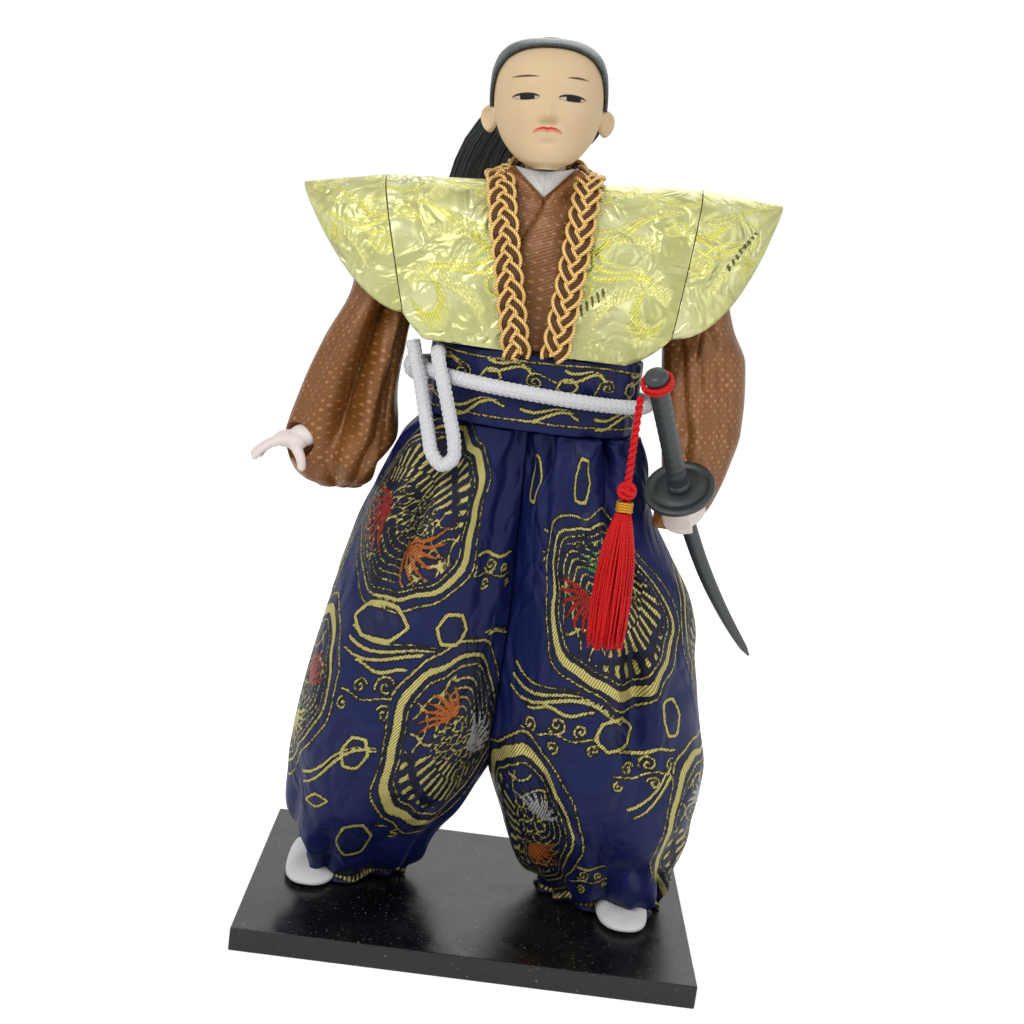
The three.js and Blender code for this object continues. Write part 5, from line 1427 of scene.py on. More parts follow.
class DOLL_OT_stage(bpy.types.Operator):
    """Set up the camera, the lights, the floor and the materials"""

    bl_idname = "doll.stage"
    bl_label = "Stage"

    def execute(self, context):
        scene = context.scene
        scene.view_settings.view_transform = "Standard"
        self.camera(scene)
        for name, (place, size, power) in LAMPS.items():
            self.lamp(scene, name, place, size, power)
        self.sky(scene)
        self.floor()
        make_materials(colours_of(context))
        return {"FINISHED"}

    def camera(self, scene):
        """The photograph's camera, which was held at a slant."""
        camera = bpy.data.objects.new("camera", bpy.data.cameras.new("camera"))
        scene.collection.objects.link(camera)
        camera.data.lens = CAMERA["lens"]
        camera.data.sensor_width = CAMERA["sensor"]
        yaw, pitch, roll = (math.radians(CAMERA[key]) for key in ("yaw", "pitch", "roll"))
        level = math.cos(pitch)
        forward = Vector((-math.sin(yaw) * level, math.cos(yaw) * level, -math.sin(pitch)))
        right = Vector((math.cos(yaw), math.sin(yaw), 0))
        up = right.cross(forward)
        c, s = math.cos(roll), math.sin(roll)
        turned = Matrix((c * right + s * up, -s * right + c * up, -forward)).transposed()
        camera.matrix_world = Matrix.Translation(Vector(CAMERA["place"]) * MM) @ turned.to_4x4()
        scene.camera = camera

    def lamp(self, scene, name, place, size, power):
        lamp = bpy.data.lights.new(name, "AREA")
        lamp.size = size
        lamp.energy = power
        holder = bpy.data.objects.new(name, lamp)
        scene.collection.objects.link(holder)
        aim = Vector(LAMP_AIM) - Vector(place)
        holder.matrix_world = Matrix.Translation(place) @ aim.to_track_quat("-Z", "Y").to_matrix().to_4x4()

    def seen(self, tree):
        """1 for what a camera sees, straight, in a mirror or through glass, and 0 for light on things."""
        path = add(tree, "ShaderNodeLightPath").outputs
        seen = add(tree, "ShaderNodeMath", {0: path["Is Camera Ray"], 1: path["Is Glossy Ray"]},
                   operation="MAXIMUM")
        return add(tree, "ShaderNodeMath", {0: seen, 1: path["Is Transmission Ray"]}, operation="MAXIMUM")

    def sky(self, scene):
        """Even white light, which cameras and mirrors see as white."""
        world = bpy.data.worlds.new("studio")
        scene.world = world
        world.use_nodes = True
        tree = world.node_tree
        tree.nodes.clear()
        level = add(tree, "ShaderNodeMapRange",
                    {"Value": self.seen(tree), "To Min": SKY_LIGHT, "To Max": 1.0})
        light = add(tree, "ShaderNodeBackground", {"Color": (1, 1, 1, 1), "Strength": level})
        add(tree, "ShaderNodeOutputWorld", {"Surface": light})

    def floor(self):
        """A pale floor that curves up into a backdrop."""
        bm = bmesh.new()
        bmesh.ops.create_grid(bm, x_segments=1, y_segments=1, size=FLOOR_REACH)
        back = [e for e in bm.edges if all(v.co.y > FLOOR_REACH - 0.1 for v in e.verts)]
        bmesh.ops.spin(bm, geom=back, cent=(0, FLOOR_REACH, BACKDROP_RADIUS), axis=(1, 0, 0),
                       angle=math.pi / 2, steps=12)
        wall = FLOOR_REACH + BACKDROP_RADIUS
        top = [e for e in bm.edges if all(v.co.y > wall - 0.05 for v in e.verts)]
        lifted = bmesh.ops.extrude_edge_only(bm, edges=top)["geom"]
        bmesh.ops.translate(bm, verts=[g for g in lifted if isinstance(g, bmesh.types.BMVert)],
                            vec=(0, 0, BACKDROP_HEIGHT))
        tree, shader = new_material("pale_paper")
        glow = add(tree, "ShaderNodeMath", {0: self.seen(tree), 1: FLOOR_GLOW}, operation="MULTIPLY")
        connect(tree, shader, {"Base Color": rgba("f4f4f4"), "Roughness": 0.9,
                               "Emission Color": (1, 1, 1, 1), "Emission Strength": glow})
        floor = new_object("floor", mesh_of(bm, "floor"), "pale_paper")
        floor.data.polygons.foreach_set("use_smooth", np.zeros(len(floor.data.polygons), bool))


def knit(stitch, wales=5):
    """Relief of a knitted cord: columns of small V stitches."""

    def relief(u, run):
        column = u * wales
        tilt = np.abs((column % 1) - 0.5) * 2
        rows = run / stitch + tilt * 0.55
        stitches = np.abs(np.sin(rows * math.pi))
        gap = ease(0.0, 0.22, 1 - tilt) * ease(0.0, 0.18, tilt)
        return -0.16 + 0.16 * stitches * (0.35 + 0.65 * gap)

    return relief


class DOLL_OT_cords(bpy.types.Operator):
    """Lay the belt cord's hanging loop"""

    bl_idname = "doll.cords"
    bl_label = "Hanging loop"

    def execute(self, context):
        stitch = sizes_of(context).stitch / MM
        route = smooth_path(BELT_LOOP_ROUTE, 190)
        loop = laid_tubes("belt_loop_cord", [route], BELT_LOOP_DIAMETER / 2, "knitted_white", 40,
                          relief=knit(stitch))
        settle(loop, "figure", "white_cord", "belt_loop")
        return {"FINISHED"}


def twisted(top, bottom, radius, plies, pitch, count=60):
    """Paths of the plies of a twisted cord between two points."""
    line = np.linspace(top, bottom, count + 1)
    side, up = path_frame(line)
    run = path_run(line)
    paths = []
    for k in range(plies):
        angle = TURN * (run / pitch + k / plies)
        paths.append(line + radius * (np.cos(angle)[:, None] * side + np.sin(angle)[:, None] * up))
    return paths, line


# Two plies side by side come to the cord's own diameter.
PLY = {"count": 2, "offset": 0.55, "radius": 0.65, "pitch": 4.2}
KNOT = {"above_end": 3.3, "ring": 2.15, "strand": 0.8, "core": 1.9, "half_height": 2.2}
# The knot's crossing turns: the tilt of each, and how far on it starts.
KNOT_TURNS = ((0.0, 0.0), (1.05, 0.5), (-1.05, 1.0), (1.57, 1.6))
BINDING = {"turns": 4, "top": 6.9, "pitch": 0.75, "ring": 2.15, "thread": 0.45}
# The skirt's reach at each share of its length.
SKIRT = through([[0, 2.0], [0.1, 3.2], [0.35, 5.1], [0.72, 5.7], [1, 5.2]])
SKIRT_TOP, SKIRT_LENGTH, SKIRT_THREAD = 9.9, 41.5, 0.34
# Threads a golden angle apart spread evenly.
GOLDEN_ANGLE = 2.39996
GRIP_TURNS = {"count": 2, "ring": 4.25, "below_top": 4.6, "pitch": 1.25, "thread": 0.7}


class DOLL_OT_tassel(bpy.types.Operator):
    """Make the red tassel: twisted cord, knot, gold binding, skirt and the loop round the grip"""

    bl_idname = "doll.tassel"
    bl_label = "Tassel"

    def execute(self, context):
        rng = np.random.default_rng(SEED)
        top = np.array(TASSEL_TOP)
        end = top - np.array([0, 0, TASSEL_CORD_DRAWN])
        plies, line = twisted(top, end, PLY["offset"], PLY["count"], PLY["pitch"], 80)
        cord = laid_tubes("tassel_cord_plies", plies, PLY["radius"], "tassel_silk", 10)
        settle(cord, "tassel", "red_thread", "tassel_cord")
        knot = self.knot(end + np.array([0, 0, KNOT["above_end"]]))
        settle(knot, "tassel", "red_thread", "tassel_knot")
        x, y, angle = ring(BINDING["ring"], 32)
        turns = []
        for k in range(BINDING["turns"]):
            z = -TASSEL_CORD_LENGTH - BINDING["top"] - BINDING["pitch"] * k
            turns.append(top + xyz(x, y, z + 0.1 * np.sin(3 * angle)))
        binding = laid_tubes("tassel_binding", turns, BINDING["thread"], "binding_gold", 8)
        settle(binding, "tassel", "gold_thread", "tassel_band")
        skirt = self.skirt(top, rng, sizes_of(context).tassel_threads)
        settle(skirt, "tassel", "red_thread", "tassel_skirt")
        self.grip_loop()
        return {"FINISHED"}

    def knot(self, middle):
        """A round button knot of crossing turns."""
        paths = []
        x, y, angle = ring(KNOT["ring"], 40)
        for tilt, lead in KNOT_TURNS:
            turn = np.array(Matrix.Rotation(tilt, 3, "X") @ Matrix.Rotation(lead, 3, "Z"))
            paths.append(xyz(x, y, 0.35 * np.sin(2 * angle + lead)) @ turn.T + middle)
        up = np.array([0, 0, KNOT["half_height"]])
        core = smooth_path([middle + up, middle, middle - up], 8)
        size = KNOT["core"] * np.sqrt(np.maximum(0.05, 1 - np.linspace(-1, 1, 9) ** 2))
        filling = laid_tubes("knot_core", [core], ([size], [size]), "tassel_silk", 16)
        strands = laid_tubes("tassel_knot_turns", paths, KNOT["strand"], "tassel_silk", 10)
        return joined([strands, filling], "tassel_knot_turns")

    def skirt(self, top, rng, count):
        """Threads that hang from the binding and part a little."""
        share = np.linspace(0, 1, 12)
        paths = []
        for k in range(count):
            inner = 0.35 + 0.65 * math.sqrt((k % 40 + 1) / 40)
            length = SKIRT_LENGTH - rng.uniform(0, 3.2) * (0.4 + inner)
            out = SKIRT(share * length / 42) * inner
            out = out + 0.35 * np.sin(share * 5 + rng.uniform(0, TURN)) * share
            turn = k * GOLDEN_ANGLE + 0.25 * share * rng.uniform(-1, 1)
            drop = -TASSEL_CORD_LENGTH - SKIRT_TOP - share * length
            paths.append(top + xyz(np.cos(turn) * out, np.sin(turn) * out, drop))
        return laid_tubes("tassel_threads", paths, SKIRT_THREAD, "tassel_silk", 5)

    def grip_loop(self):
        """Two turns of thread round the grip, under the pommel."""
        x, y, _ = ring(GRIP_TURNS["ring"], 40)
        top = GRIP_LENGTH - GRIP_TURNS["below_top"]
        turns = [sword_points(xyz(x, y, top + GRIP_TURNS["pitch"] * k)) for k in range(GRIP_TURNS["count"])]
        loop = laid_tubes("tassel_grip_loop", turns, GRIP_TURNS["thread"], "tassel_silk", 10)
        settle(loop, "sword", "red_thread", "tassel_loop")


def sword_axes():
    """The sword's own axes, as columns: the side that the scabbard curves to, across it, and up the grip."""
    curve_side = np.array([1.0, 0, 0]) - GRIP_WAY * GRIP_WAY[0]
    curve_side = curve_side / np.linalg.norm(curve_side)
    return np.stack([curve_side, np.cross(GRIP_WAY, curve_side), GRIP_WAY], axis=1)


def sword_points(points):
    """Points of the sword's own frame, whose Z runs up the grip from the guard, in the doll's frame."""
    return lean(np.asarray(points) @ sword_axes().T + GUARD_MIDDLE)


# Width of the softening along the board's edges.
BOARD_EDGE = 0.6


class DOLL_OT_board(bpy.types.Operator):
    """Make the lacquered board, with its slightly softened edges"""

    bl_idname = "doll.board"
    bl_label = "Board"

    def execute(self, context):
        low, high = (Vector(c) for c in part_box("base_board"))
        bm = bmesh.new()
        bmesh.ops.create_cube(bm, size=1)
        size = Matrix.Diagonal((*(high - low), 1))
        bmesh.ops.transform(bm, matrix=Matrix.Translation((low + high) / 2) @ size, verts=bm.verts)
        bmesh.ops.bevel(bm, geom=bm.edges[:], offset=BOARD_EDGE * MM, offset_type="OFFSET", segments=3,
                        profile=0.5, affect="EDGES", material=-1)
        board = new_object("board", mesh_of(bm, "board"), "black_lacquer")
        board.data.polygons.foreach_set("use_smooth", np.zeros(len(board.data.polygons), bool))
        settle(board, "figure", "lacquered_board", "base_board")
        return {"FINISHED"}


class DOLL_OT_feet(bpy.types.Operator):
    """Make the two padded white sock feet"""

    bl_idname = "doll.feet"
    bl_label = "Sock feet"

    def execute(self, context):
        for side in ("right", "left"):
            low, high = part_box(f"foot_{side}")
            low, high = np.array(low) / MM, np.array(high) / MM

            def place(u, v, low=low, high=high):
                middle = (low + high) / 2
                half = (high - low) / 2
                turn, lift = u * TURN, (v - 0.5) * math.pi
                across, along = rounded(turn, 2.5)
                flat, up = np.cos(lift) ** 0.75, np.sin(lift)
                narrow = 1 - 0.12 * ease(0, 1, along)
                # A low round toe, a little further forward than the solid's.
                low_toe = 1 - 0.72 * ease(0.3, -0.6, along)
                forward = 2.2 * ease(0, -0.7, along)
                share = np.where(up > 0, 0.2 + 0.8 * np.abs(up) * low_toe, 0.2 * (1 - np.abs(up) ** 0.5))
                z = low[2] + (high[2] - low[2]) * share
                seam = 0.25 * np.exp(-((across / 0.07) ** 2)) * ease(0.2, 0.6, up)
                return xyz(middle[0] + across * flat * half[0] * narrow,
                           middle[1] + along * flat * half[1] - forward, z - seam)

            sock = laid_grid(f"sock_{side}", place, 96, 48, "sock_cotton", (90, 40))
            settle(sock, "figure", "white_cotton", f"foot_{side}")
        return {"FINISHED"}


# Width of the cloth of a leg, round it.
LEG_ROUND = 220.0
# Woven figures, in the order in which they are laid. Those of the front are at an x and a height of the doll,
# and from there along and up the cloth; those of the rest are at a place on the cloth.
FRONT_FIGURES = {
    "right": [
        ("stream", (-30, 99), 24, 2.5, 3, -0.1), ("stream", (-50, 62), 16, 2, 2, 0.5),
        ("stream", (-8, 104), 12, 2, 2, 0.4), ("cloud", (-36, 88), 9, 1), ("cloud", (-24, 44), 6.5, -1),
        ("cloud", (-8, 128), 6, -1), ("medallion", (-33, 141), 26, 1.0, -0.6, (RED, ORANGE)),
        ("medallion", (-13, 71), 20, 1.4, 2.6, (SILVER, ORANGE)),
        ("medallion", (-62, 72, -12, 6.3), 20, 1.3, 1.2, (GOLD, RED)),
        ("outline", (-41, 107), 11, 6, 6, 1.4), ("outline", (-17.3, 108), 5.3, 5.3, 6, 1.3),
        ("outline", (-59.5, 111), 4, 7, 6, 1.1), ("outline", (-43.5, 65.5), 4.6, 5.6, 6, 1.2),
        ("outline", (-55, 46), 5.2, 2.4, 4, 1.0, 0.2), ("outline", (-41, 34), 7, 7, 6, 1.2, 0.3),
    ],
    "left": [
        ("stream", (20, 92), 20, 2.5, 3, -0.2), ("stream", (58, 66), 16, 2, 2, 0.5),
        ("cloud", (20, 84), 7.5, -1), ("cloud", (51, 72), 7, 1), ("cloud", (14, 137), 6, 1),
        ("cloud", (36, 30), 6, -1), ("medallion", (33, 120), 22, 1.2, 3.6, (GREEN, RED)),
        ("medallion", (14, 47), 17, 1.5, 1.2, (ORANGE, SILVER)),
        ("medallion", (71, 45), 19, 1.4, 2.2, (ORANGE, SILVER)), ("outline", (3, 156), 3.4, 8.5, 6, 1.2),
        ("outline", (17.5, 158), 4.4, 7, 6, 1.2), ("outline", (39, 82), 6, 5.2, 6, 1.2, 0.2),
        ("outline", (57, 86), 4, 7, 6, 1.2),
    ],
}
BACK_FIGURES = {
    "right": [
        ("medallion", (28.6, 76.9), 21, 1.2, 1.17, (RED, SILVER)),
        ("medallion", (66, 99), 21, 1.2, 2.7, (RED, SILVER)),
        ("medallion", (92.4, 114.6), 21, 1.2, 3.78, (RED, SILVER)),
        ("medallion", (44, 132), 19, 1.0, 1.0, (GREEN, ORANGE)), ("cloud", (79.2, 140), 8, -1),
    ],
    "left": [
        ("medallion", (8.8, 100.6), 21, 1.2, 0.28, (RED, SILVER)),
        ("medallion", (44, 83), 21, 1.2, 1.4, (RED, SILVER)),
        ("medallion", (79.2, 65.4), 21, 1.2, 2.52, (RED, SILVER)),
        ("medallion", (66, 128), 19, 1.0, 2.0, (GREEN, ORANGE)), ("cloud", (30.8, 62), 8, 1),
    ],
}
HEM_SHADE = "14142a"


def leg_spot(place, x, height, along=0, up=0):
    """The place on the cloth where the leg's front reaches x at a height, moved along and up the cloth."""
    v = np.full(400, (height - HEM) / (LEG_TOP - HEM) * (1 - 2 * LEG_END) + LEG_END)
    u = np.linspace(0.5, 1.0, 400)
    across = place(u, v)[:, 0]
    return float(np.interp(x, across, u)) * LEG_ROUND + along, height - HEM + up


class DOLL_OT_hakama(bpy.types.Operator):
    """Make the padded trouser legs in navy brocade with woven roundels, clouds and hexagons"""

    bl_idname = "doll.hakama"
    bl_label = "Trouser legs"

    def execute(self, context):
        colours = colours_of(context)
        depth = sizes_of(context).fold_depth / MM
        cloth_size = (LEG_ROUND, LEG_TOP - HEM)
        for side, _ in SIDES:
            moved = blown(leg_place(side, depth), 72, 50, growth=0.11, cap=3.2)
            place = leg_place(side, depth, moved)
            leg = laid_grid(f"hakama_{side}", place, 350, 270, "navy_silk_brocade", cloth_size)
            cloth = Ornament(cloth_points(leg.data), colours.navy, colours.brocade_gold, LEG_ROUND)
            for kind, spot, *shape in FRONT_FIGURES[side]:
                getattr(cloth, kind)(leg_spot(place, *spot), *shape)
            for kind, spot, *shape in BACK_FIGURES[side]:
                getattr(cloth, kind)(spot, *shape)
            self.hem(cloth)
            cloth.keep_on(leg.data)
            settle(leg, "figure", "navy_brocade", f"hakama_leg_{side}")
        return {"FINISHED"}

    def hem(self, cloth):
        """Gold dashes along the turned hem."""
        u, v = cloth.spots.T
        line = np.abs(v - 5.5 - 0.8 * np.sin(u * TURN * 6 / LEG_ROUND)) - 0.7
        dashes = np.abs((u / 2.2) % 1 - 0.5) * 2.2 - 0.75
        cloth.lay(np.maximum(line, dashes))
        low = v < 8
        cloth.ground[low] = mix(cloth.ground[low], np.array(linear(HEM_SHADE)), 0.6)


# The band's cloth: round the figure, and round its section. Of that, 0 to 13 is the upper half of the front
# face and 41 to 54 the lower half.
BAND_CLOTH = (190.0, 54)
TIE = {"out": 1.9, "wide": 2.3, "tall": 2.6, "apart": 1.25, "cord": 1.75, "core": 2.4, "core_reach": 3}


class DOLL_OT_waist(bpy.types.Operator):
    """Make the waistband, the white knitted belt cord and its tie"""

    bl_idname = "doll.waist"
    bl_label = "Waistband and belt"

    def execute(self, context):
        self.band(colours_of(context))
        stitch = sizes_of(context).stitch / MM
        knot_at, gap = BELT_KNOT["angle"], BELT_KNOT["half_angle"]
        round_path = smooth_path(belt_path(knot_at + gap, knot_at + TURN - gap, 40), 520)
        belt = laid_tubes("belt_cord_knit", [round_path], BELT["diameter"] / 2, "knitted_white", 40,
                          relief=knit(stitch))
        settle(belt, "figure", "white_cord", "belt_cord")
        self.tie(stitch)
        return {"FINISHED"}

    def band(self, colours):
        """The brocade band, with gold lines along both edges."""
        band = laid_grid("waistband_brocade", band_place, 420, 110, "navy_silk_brocade", BAND_CLOTH)
        round_about = BAND_CLOTH[0]
        cloth = Ornament(cloth_points(band.data), colours.navy, colours.brocade_gold, round_about)
        u, v = cloth.spots.T
        cloth.lay(np.abs(v - 10.6 - 0.6 * np.sin(u * TURN * 4 / round_about)) - 0.35)
        cloth.lay(np.abs(v - 44.5) - 0.35)
        for k, centre in enumerate(np.linspace(0, round_about, 9)[:-1]):
            cloth.scroll((centre, 4), 3.2, 1.6, k * 0.8, 1 if k % 2 else -1, 0.7, 5)
            cloth.outline((centre + 10, 3.5), 3.4, 3.2, 6, 1.0, 0.2 * k)
            cloth.stream((centre + 6, 49), 9, 1.2, 2, 0.1 * (k % 3))
            cloth.stream((centre + 16, 9), 7, 0.8, 2, -0.1)
        cloth.keep_on(band.data)
        settle(band, "figure", "navy_brocade", "waistband")

    def tie(self, stitch):
        """The tie: two turns of the cord over the belt."""
        knot_at = BELT_KNOT["angle"]
        middle = belt_path(knot_at, knot_at, 1, TIE["out"])[0]
        out = np.array([math.cos(knot_at), math.sin(knot_at), 0.0])
        side = np.array([-out[1], out[0], 0])
        up = np.array([0.0, 0, 1])
        x, z, _ = ring(1, 48)
        oval = x[:, None] * out * TIE["wide"] + z[:, None] * up * TIE["tall"]
        turns = [middle + oval + (k * (TIE["apart"] + 0.7 * z))[:, None] * side for k in (-1, 1)]
        tie = laid_tubes("belt_tie", turns, TIE["cord"], "knitted_white", 28, relief=knit(stitch * 0.8))
        reach = side * TIE["core_reach"]
        line = smooth_path([middle - reach, middle, middle + reach], 8)
        core = laid_tubes("tie_core", [line], TIE["core"], "knitted_white", 20)
        settle(joined([tie, core], "belt_tie"), "figure", "white_cord", "belt_knot")


CLOTH_THICKNESS, COLLAR_THICKNESS = 1.0, 0.9
# Sizes of the pieces of cloth when they are laid flat, in metres.
COLLAR_RADIUS, OUTER_COLLAR_RADIUS = 9.0, 10.4
# The neck's bands stand this far forward of the neck's axis.
COLLAR_FORWARD = 0.5


class DOLL_OT_kimono(bpy.types.Operator):
    """Make the padded kimono body, its crossed lapels and the white inner collar"""

    bl_idname = "doll.kimono"
    bl_label = "Kimono and collar"

    def execute(self, context):
        body = laid_grid("kimono_satin", kimono_place, 200, 120, "copper_dot_satin", (160, 76))
        settle(body, "figure", "brown_satin", "kimono_body", "torso_core")
        for name, side in SIDES:
            lapel = laid_grid(f"lapel_{name}", lapel_place(name, side), 40, 200, "copper_dot_satin", (9, 66),
                              closed=False)
            thicken(lapel, CLOTH_THICKNESS)
            settle(lapel, "figure", "brown_satin", f"kimono_lapel_{name}")
        collar = laid_grid("inner_collar_band", self.collar_place, 160, 24, "collar_cotton", (60, 12),
                           closed=False)
        thicken(collar, COLLAR_THICKNESS)
        settle(collar, "figure", "white_cotton", "inner_collar")
        outer = laid_grid("kimono_collar_band", self.outer_collar_place, 160, 24, "copper_dot_satin", (66, 8),
                          closed=False)
        thicken(outer, COLLAR_THICKNESS)
        settle(outer, "figure", "brown_satin", "kimono_collar")
        return {"FINISHED"}

    @staticmethod
    def neck_spot(angle, radius, high, v):
        """A point of a band round the neck, whose lower edge dips at the throat."""
        low = CHEST_HEIGHT + 0.3 - 5.4 * np.maximum(0, np.cos(angle)) ** 2
        return lean(xyz(np.sin(angle) * radius, -COLLAR_FORWARD - np.cos(angle) * radius, mix(low, high, v)))

    def outer_collar_place(self, u, v):
        """The kimono's own collar, outside the white one, open in a V at the throat."""
        angle = u * TURN
        top = CHIN_Z + 1.0
        high = np.where(np.cos(angle) > 0, mix(CHEST_HEIGHT - 3, top, np.abs(np.sin(angle))), top)
        return self.neck_spot(angle, OUTER_COLLAR_RADIUS, high, v)

    def collar_place(self, u, v):
        """The white collar, lower under the chin, so that the head turns freely."""
        angle = u * TURN
        high = CHIN_Z - 0.5 + 1.3 * np.maximum(np.sin(angle) ** 2, -np.cos(angle))
        # The doll's left side crosses over the right in a slanting line at the throat.
        crossing = 0.45 * ease(-0.6, 0.6, np.sin(angle) * 9 + (v - 0.5) * 7) * ease(0.2, 0.6, np.cos(angle))
        return self.neck_spot(angle, COLLAR_RADIUS + 0.5 * (1 - v) + crossing, high, v)


class DOLL_OT_sleeves(bpy.types.Operator):
    """Make the two padded satin sleeves"""

    bl_idname = "doll.sleeves"
    bl_label = "Sleeves"

    def execute(self, context):
        for side, _ in SIDES:
            place = sleeve_place(side, blown(sleeve_place(side), 48, 40, growth=0.1, cap=2.2))
            sleeve = laid_grid(f"satin_sleeve_{side}", place, 200, 180, "copper_dot_satin", (95, 110))
            settle(sleeve, f"{side}_arm", "brown_satin", f"sleeve_{side}")
        return {"FINISHED"}


# The shoulder cloth's painted sheen, its figures' colours and the painted dark glints on the doll's left.
VEST_SHEEN, FERN, SMALL_FERN, GLINT = "dadba8", "ebea94", "dcd962", "55582c"
# Where a row of glints starts on the cloth, its way and its count.
VEST_GLINTS, WING_GLINTS = (2, 5, 0.75, 9), (13, 13, 0.9, 8)


class DOLL_OT_vest(bpy.types.Operator):
    """Make the shoulder cloth in pale gold brocade, with its stiff wings"""

    bl_idname = "doll.vest"
    bl_label = "Shoulder cloth"

    def execute(self, context):
        colours = colours_of(context)
        for name, side in SIDES:
            vest = laid_grid(f"vest_{name}", vest_place(side), 110, 340, "vest_brocade", (36, 165),
                             closed=False)
            wing = laid_grid(f"wing_{name}", wing_place(side), 100, 280, "vest_brocade", (30, 140),
                             closed=False)
            for piece, kind, under, glints in (
                (vest, "kataginu", "kimono_satin", VEST_GLINTS),
                (wing, "shoulder_wing", f"satin_sleeve_{name}", WING_GLINTS),
            ):
                self.figures(piece, colours, side, glints)
                cut_at_band(piece)
                thicken(piece, CLOTH_THICKNESS)
                settle(piece, "figure", "gold_brocade", f"{kind}_{name}")
        return {"FINISHED"}

    def figures(self, piece, colours, side, glints):
        """Ferns, curls and streams in brighter thread, over a ground with paler patches of painted sheen."""
        cloth = Ornament(cloth_points(piece.data), colours.vest, colours.vest_bright)
        u, v = cloth.spots.T
        # Paler patches where the ground is painted lighter, as painted sheen of the metal thread.
        shimmer = 0.5 + 0.5 * np.sin(u * 0.19 + 1.7 * np.sin(v * 0.11 + side)) * np.cos(v * 0.13 + 0.07 * u)
        cloth.ground = mix(cloth.ground, np.array(linear(VEST_SHEEN)), 0.75 * shimmer[:, None] ** 2)
        reach = cloth.spots.max(axis=0)
        for k, y in enumerate(np.arange(6, reach[1], 21)):
            x = reach[0] * (0.3 + 0.42 * (k % 2))
            hand = 1 if k % 2 else -1
            cloth.fern((x, y), 26, 1.2 + 0.9 * k, 2.2 * hand, FERN, 4.6)
            cloth.fern((reach[0] - x, y + 9), 17, 4.0 + 0.7 * k, -2.6 * hand, SMALL_FERN, 3.2)
            cloth.scroll((x + 5 * hand, y + 11), 4.2, 1.7, 0.9 * k, hand, 0.9, 7)
            cloth.stream((reach[0] / 2, y + 15), 13, 1.8, 3, 0.5 * hand)
        # Short dark bars side by side, where the metal thread turns from the light.
        if side > 0:
            x, y, way, count = glints
            for k in range(count):
                spot = (x + 1.8 * k * math.cos(way), y + 1.8 * k * math.sin(way))
                cloth.stroke(spot, [(0, 0), (-0.9, 2.4)], 0.95, GLINT)
        cloth.keep_on(piece.data)


# How far the braid's middle stands off the shoulder cloth's own surface.
BRAID_LIFT = 2.7
# The braid's way round the back of the neck: places, and the directions in which it faces.
BRAID_BEHIND = np.array([[14.8, 0, 73.6], [12.4, 6.2, 74.4], [8, 11.4, 75], [0, 13.6, 75.6]])
BRAID_BEHIND_FACING = np.array([[0.35, 0, 1], [0.7, 0.5, 0.7], [0.5, 1, 0.35], [0, 1, 0.2]])
# Half width and half thickness of a brown strand, and the gold cord's radius and place on it.
STRAND, GOLD_CORD, GOLD_CORD_SIDE, GOLD_CORD_LIFT = (1.1, 0.6), 0.62, 1.4, 0.42
# How far a strand goes up and down where it crosses the others.
PLAIT_LIFT = 0.62


def braid_line(turn):
    """The braid's place on the front edge and its outward direction, in the upper body's frame."""
    x = mix(*BRAID_X, arch_rise(turn))
    depth = mix(VEST["depth"], VEST["side_depth"], (x / SEAM_X[0]) ** 2)
    here, ahead, behind = (arch(x, at, VEST["bottom"], VEST["ridge"], depth, depth)
                           for at in (turn, np.minimum(1, turn + 0.01), np.maximum(0, turn - 0.01)))
    along = ahead - behind
    normal = unit(xyz(0 * x, along[:, 2], -along[:, 1]))
    normal = normal * np.where(normal[:, 1:2] > 0, -1, 1)
    return here + normal * BRAID_LIFT, normal


def mirrored(half):
    """A row of places or directions from one front to the back of the neck, and on to the other front."""
    return np.vstack([half, half[-2::-1] * np.array([-1, 1, 1])])


class DOLL_OT_braid(bpy.types.Operator):
    """Plait the gold and brown edging along the fronts and round the neck"""

    bl_idname = "doll.braid"
    bl_label = "Plaited edging"

    def execute(self, context):
        place, normal = braid_line(np.linspace(0.006, 0.44, 15))
        stations = mirrored(np.vstack([place, BRAID_BEHIND]))
        normals = mirrored(np.vstack([normal, BRAID_BEHIND_FACING]))
        line = smooth_path(stations, 900)
        run, station_run = path_run(line), path_run(stations)
        share = run / run[-1] * station_run[-1]
        out = unit(np.stack([np.interp(share, station_run, normals[:, k]) for k in range(3)], axis=1))
        along = unit(np.gradient(line, axis=0))
        side = unit(np.cross(along, out))
        out = np.cross(side, along)
        self.strands(line, side, out, run, sizes_of(context).plait / MM)
        return {"FINISHED"}

    def strands(self, line, side, out, run, plait):
        """Three flat brown strands, each edged with two gold cords."""
        brown, gold, sides = [], [], []
        for k in range(3):
            phase = TURN * (run / plait + k / 3)
            across = (BRAID_WIDTH / 2 - 1.5) * np.sin(phase)
            lift = PLAIT_LIFT * np.sin(2 * phase)
            middle = lean(line + across[:, None] * side + lift[:, None] * out)
            way = unit(np.gradient(middle, axis=0))
            up = unit(out @ UPPER_TURN.T)
            flat = unit(np.cross(way, up))
            brown.append(middle[::3])
            sides.append(flat[::3])
            for edge in (-GOLD_CORD_SIDE, GOLD_CORD_SIDE):
                gold.append((middle + flat * edge + up * GOLD_CORD_LIFT)[::3])
        for piece in (laid_tubes("braid_brown_strands", brown, STRAND, "braid_brown", 10, sideways=sides),
                      laid_tubes("braid_gold_cords", gold, GOLD_CORD, "braid_gold", 8)):
            settle(piece, "figure", "gold_braid", "collar_braid")


EAR = {"middle": (18.2, 1.8, 89.3), "half_width": 3.9, "half_height": 4.3, "half_thickness": 1.1}
NECK_RADIUS = 6.5


